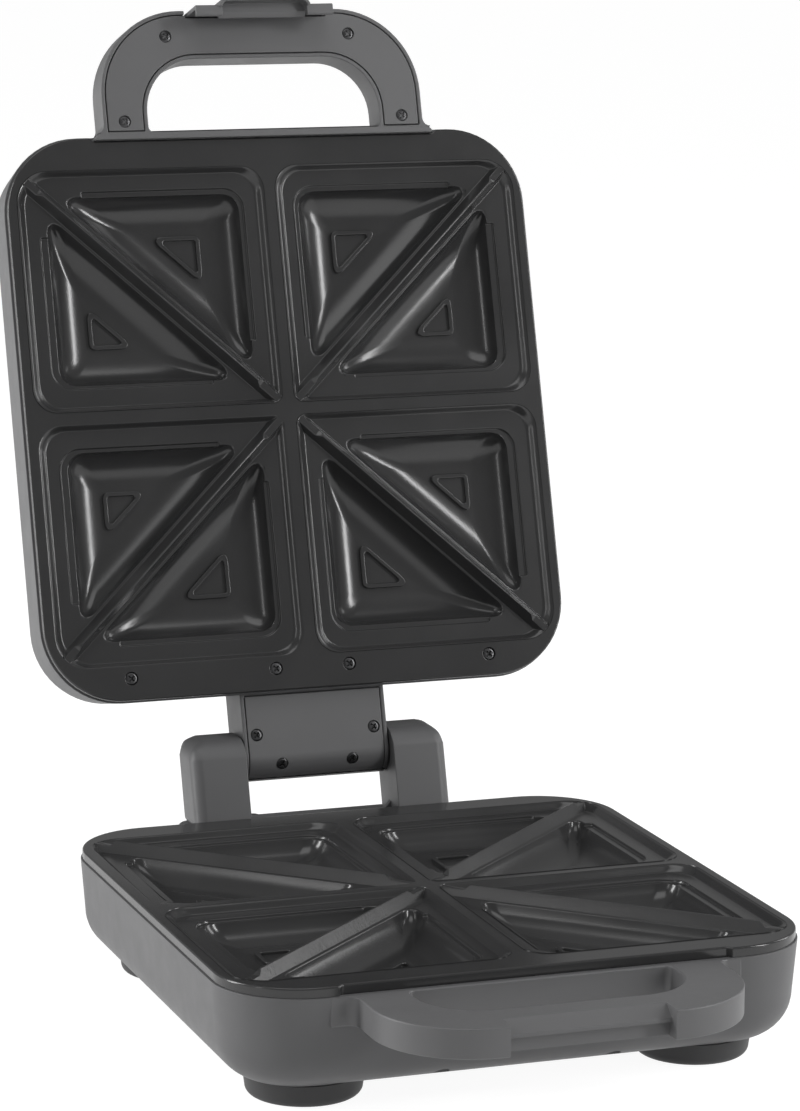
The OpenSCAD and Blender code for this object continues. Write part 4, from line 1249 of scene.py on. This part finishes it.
class TOASTER_OT_stage(bpy.types.Operator):
    """Sets up the floor, the backdrop, the lamps and the camera"""

    bl_idname = "toaster.stage"
    bl_label = "Stage"

    def execute(self, context):
        let_go()
        bpy.ops.mesh.primitive_plane_add(size=80, location=(0, 0, 0))
        floor = context.object
        floor.name = "studio_floor"
        floor.data.materials.append(stage_material("Studio Floor", 0.8, 0.22, 0.93))
        let_go()

        world = bpy.data.worlds.new("Studio")
        context.scene.world = world
        world.use_nodes = True
        tree = world.node_tree
        sky = tree.nodes["Background"]
        path = tree.nodes.new("ShaderNodeLightPath").outputs
        seen = maths(tree, "MAXIMUM", path["Is Camera Ray"], path["Is Transmission Ray"])
        level = mapped_range(tree, seen, (0.0, 1.0), (SKY_LIGHT, SKY_SEEN))
        tree.links.new(level, sky.inputs["Strength"])
        socket(sky, "Color", rgba((1, 1, 1)))

        for row in LAMPS:
            lamp(*row)

        data = bpy.data.cameras.new("Camera")
        camera = bpy.data.objects.new("Camera", data)
        context.scene.collection.objects.link(camera)
        context.scene.camera = camera
        camera.matrix_world = camera_matrix()
        data.lens = LENS_MM
        data.sensor_width = SENSOR_MM
        data.clip_start = 0.05
        data.clip_end = 120.0
        context.scene.view_settings.view_transform = "Standard"
        return {"FINISHED"}


# ---------- settings, panel and registration ----------


def colour_prop(name, description, default):
    return bpy.props.FloatVectorProperty(
        name=name, description=description, subtype="COLOR", size=3, min=0, max=1,
        default=default,
    )


class ToasterFinishes(bpy.types.PropertyGroup):
    coating: colour_prop("Coating", "Colour of the non-stick coating", (0.029, 0.029, 0.0295))
    housing: colour_prop("Housing", "Colour of the two housings", (0.094, 0.094, 0.0965))
    handle: colour_prop("Handle", "Colour of the handles", (0.107, 0.107, 0.1095))
    rubber: colour_prop("Rubber", "Colour of the feet", (0.045, 0.045, 0.046))
    screw: colour_prop("Screws", "Colour of the screw heads", (0.08, 0.08, 0.082))


OPERATORS = (
    TOASTER_OT_finishes,
    TOASTER_OT_plates,
    TOASTER_OT_base_housing,
    TOASTER_OT_lid_housing,
    TOASTER_OT_hinge,
    TOASTER_OT_latch,
    TOASTER_OT_small_mouldings,
    TOASTER_OT_screws,
    TOASTER_OT_stage,
)


class TOASTER_PT_panel(bpy.types.Panel):
    bl_label = "Sandwich Toaster"
    bl_space_type = "VIEW_3D"
    bl_region_type = "UI"
    bl_category = "Toaster"

    def draw(self, context):
        colours = context.scene.toaster_finishes
        for name in ("coating", "housing", "handle", "rubber", "screw"):
            self.layout.prop(colours, name)
        for operator in OPERATORS:
            self.layout.operator(operator.bl_idname)


CLASSES = (ToasterFinishes,) + OPERATORS + (TOASTER_PT_panel,)


def register():
    for item in CLASSES:
        bpy.utils.register_class(item)
    bpy.types.Scene.toaster_finishes = bpy.props.PointerProperty(type=ToasterFinishes)


def unregister():
    del bpy.types.Scene.toaster_finishes
    for item in reversed(CLASSES):
        bpy.utils.unregister_class(item)


def main():
    register()
    for operator in OPERATORS:
        group, name = operator.bl_idname.split(".")
        getattr(getattr(bpy.ops, group), name)()
    bpy.context.view_layer.update()


if __name__ == "__main__":
    main()
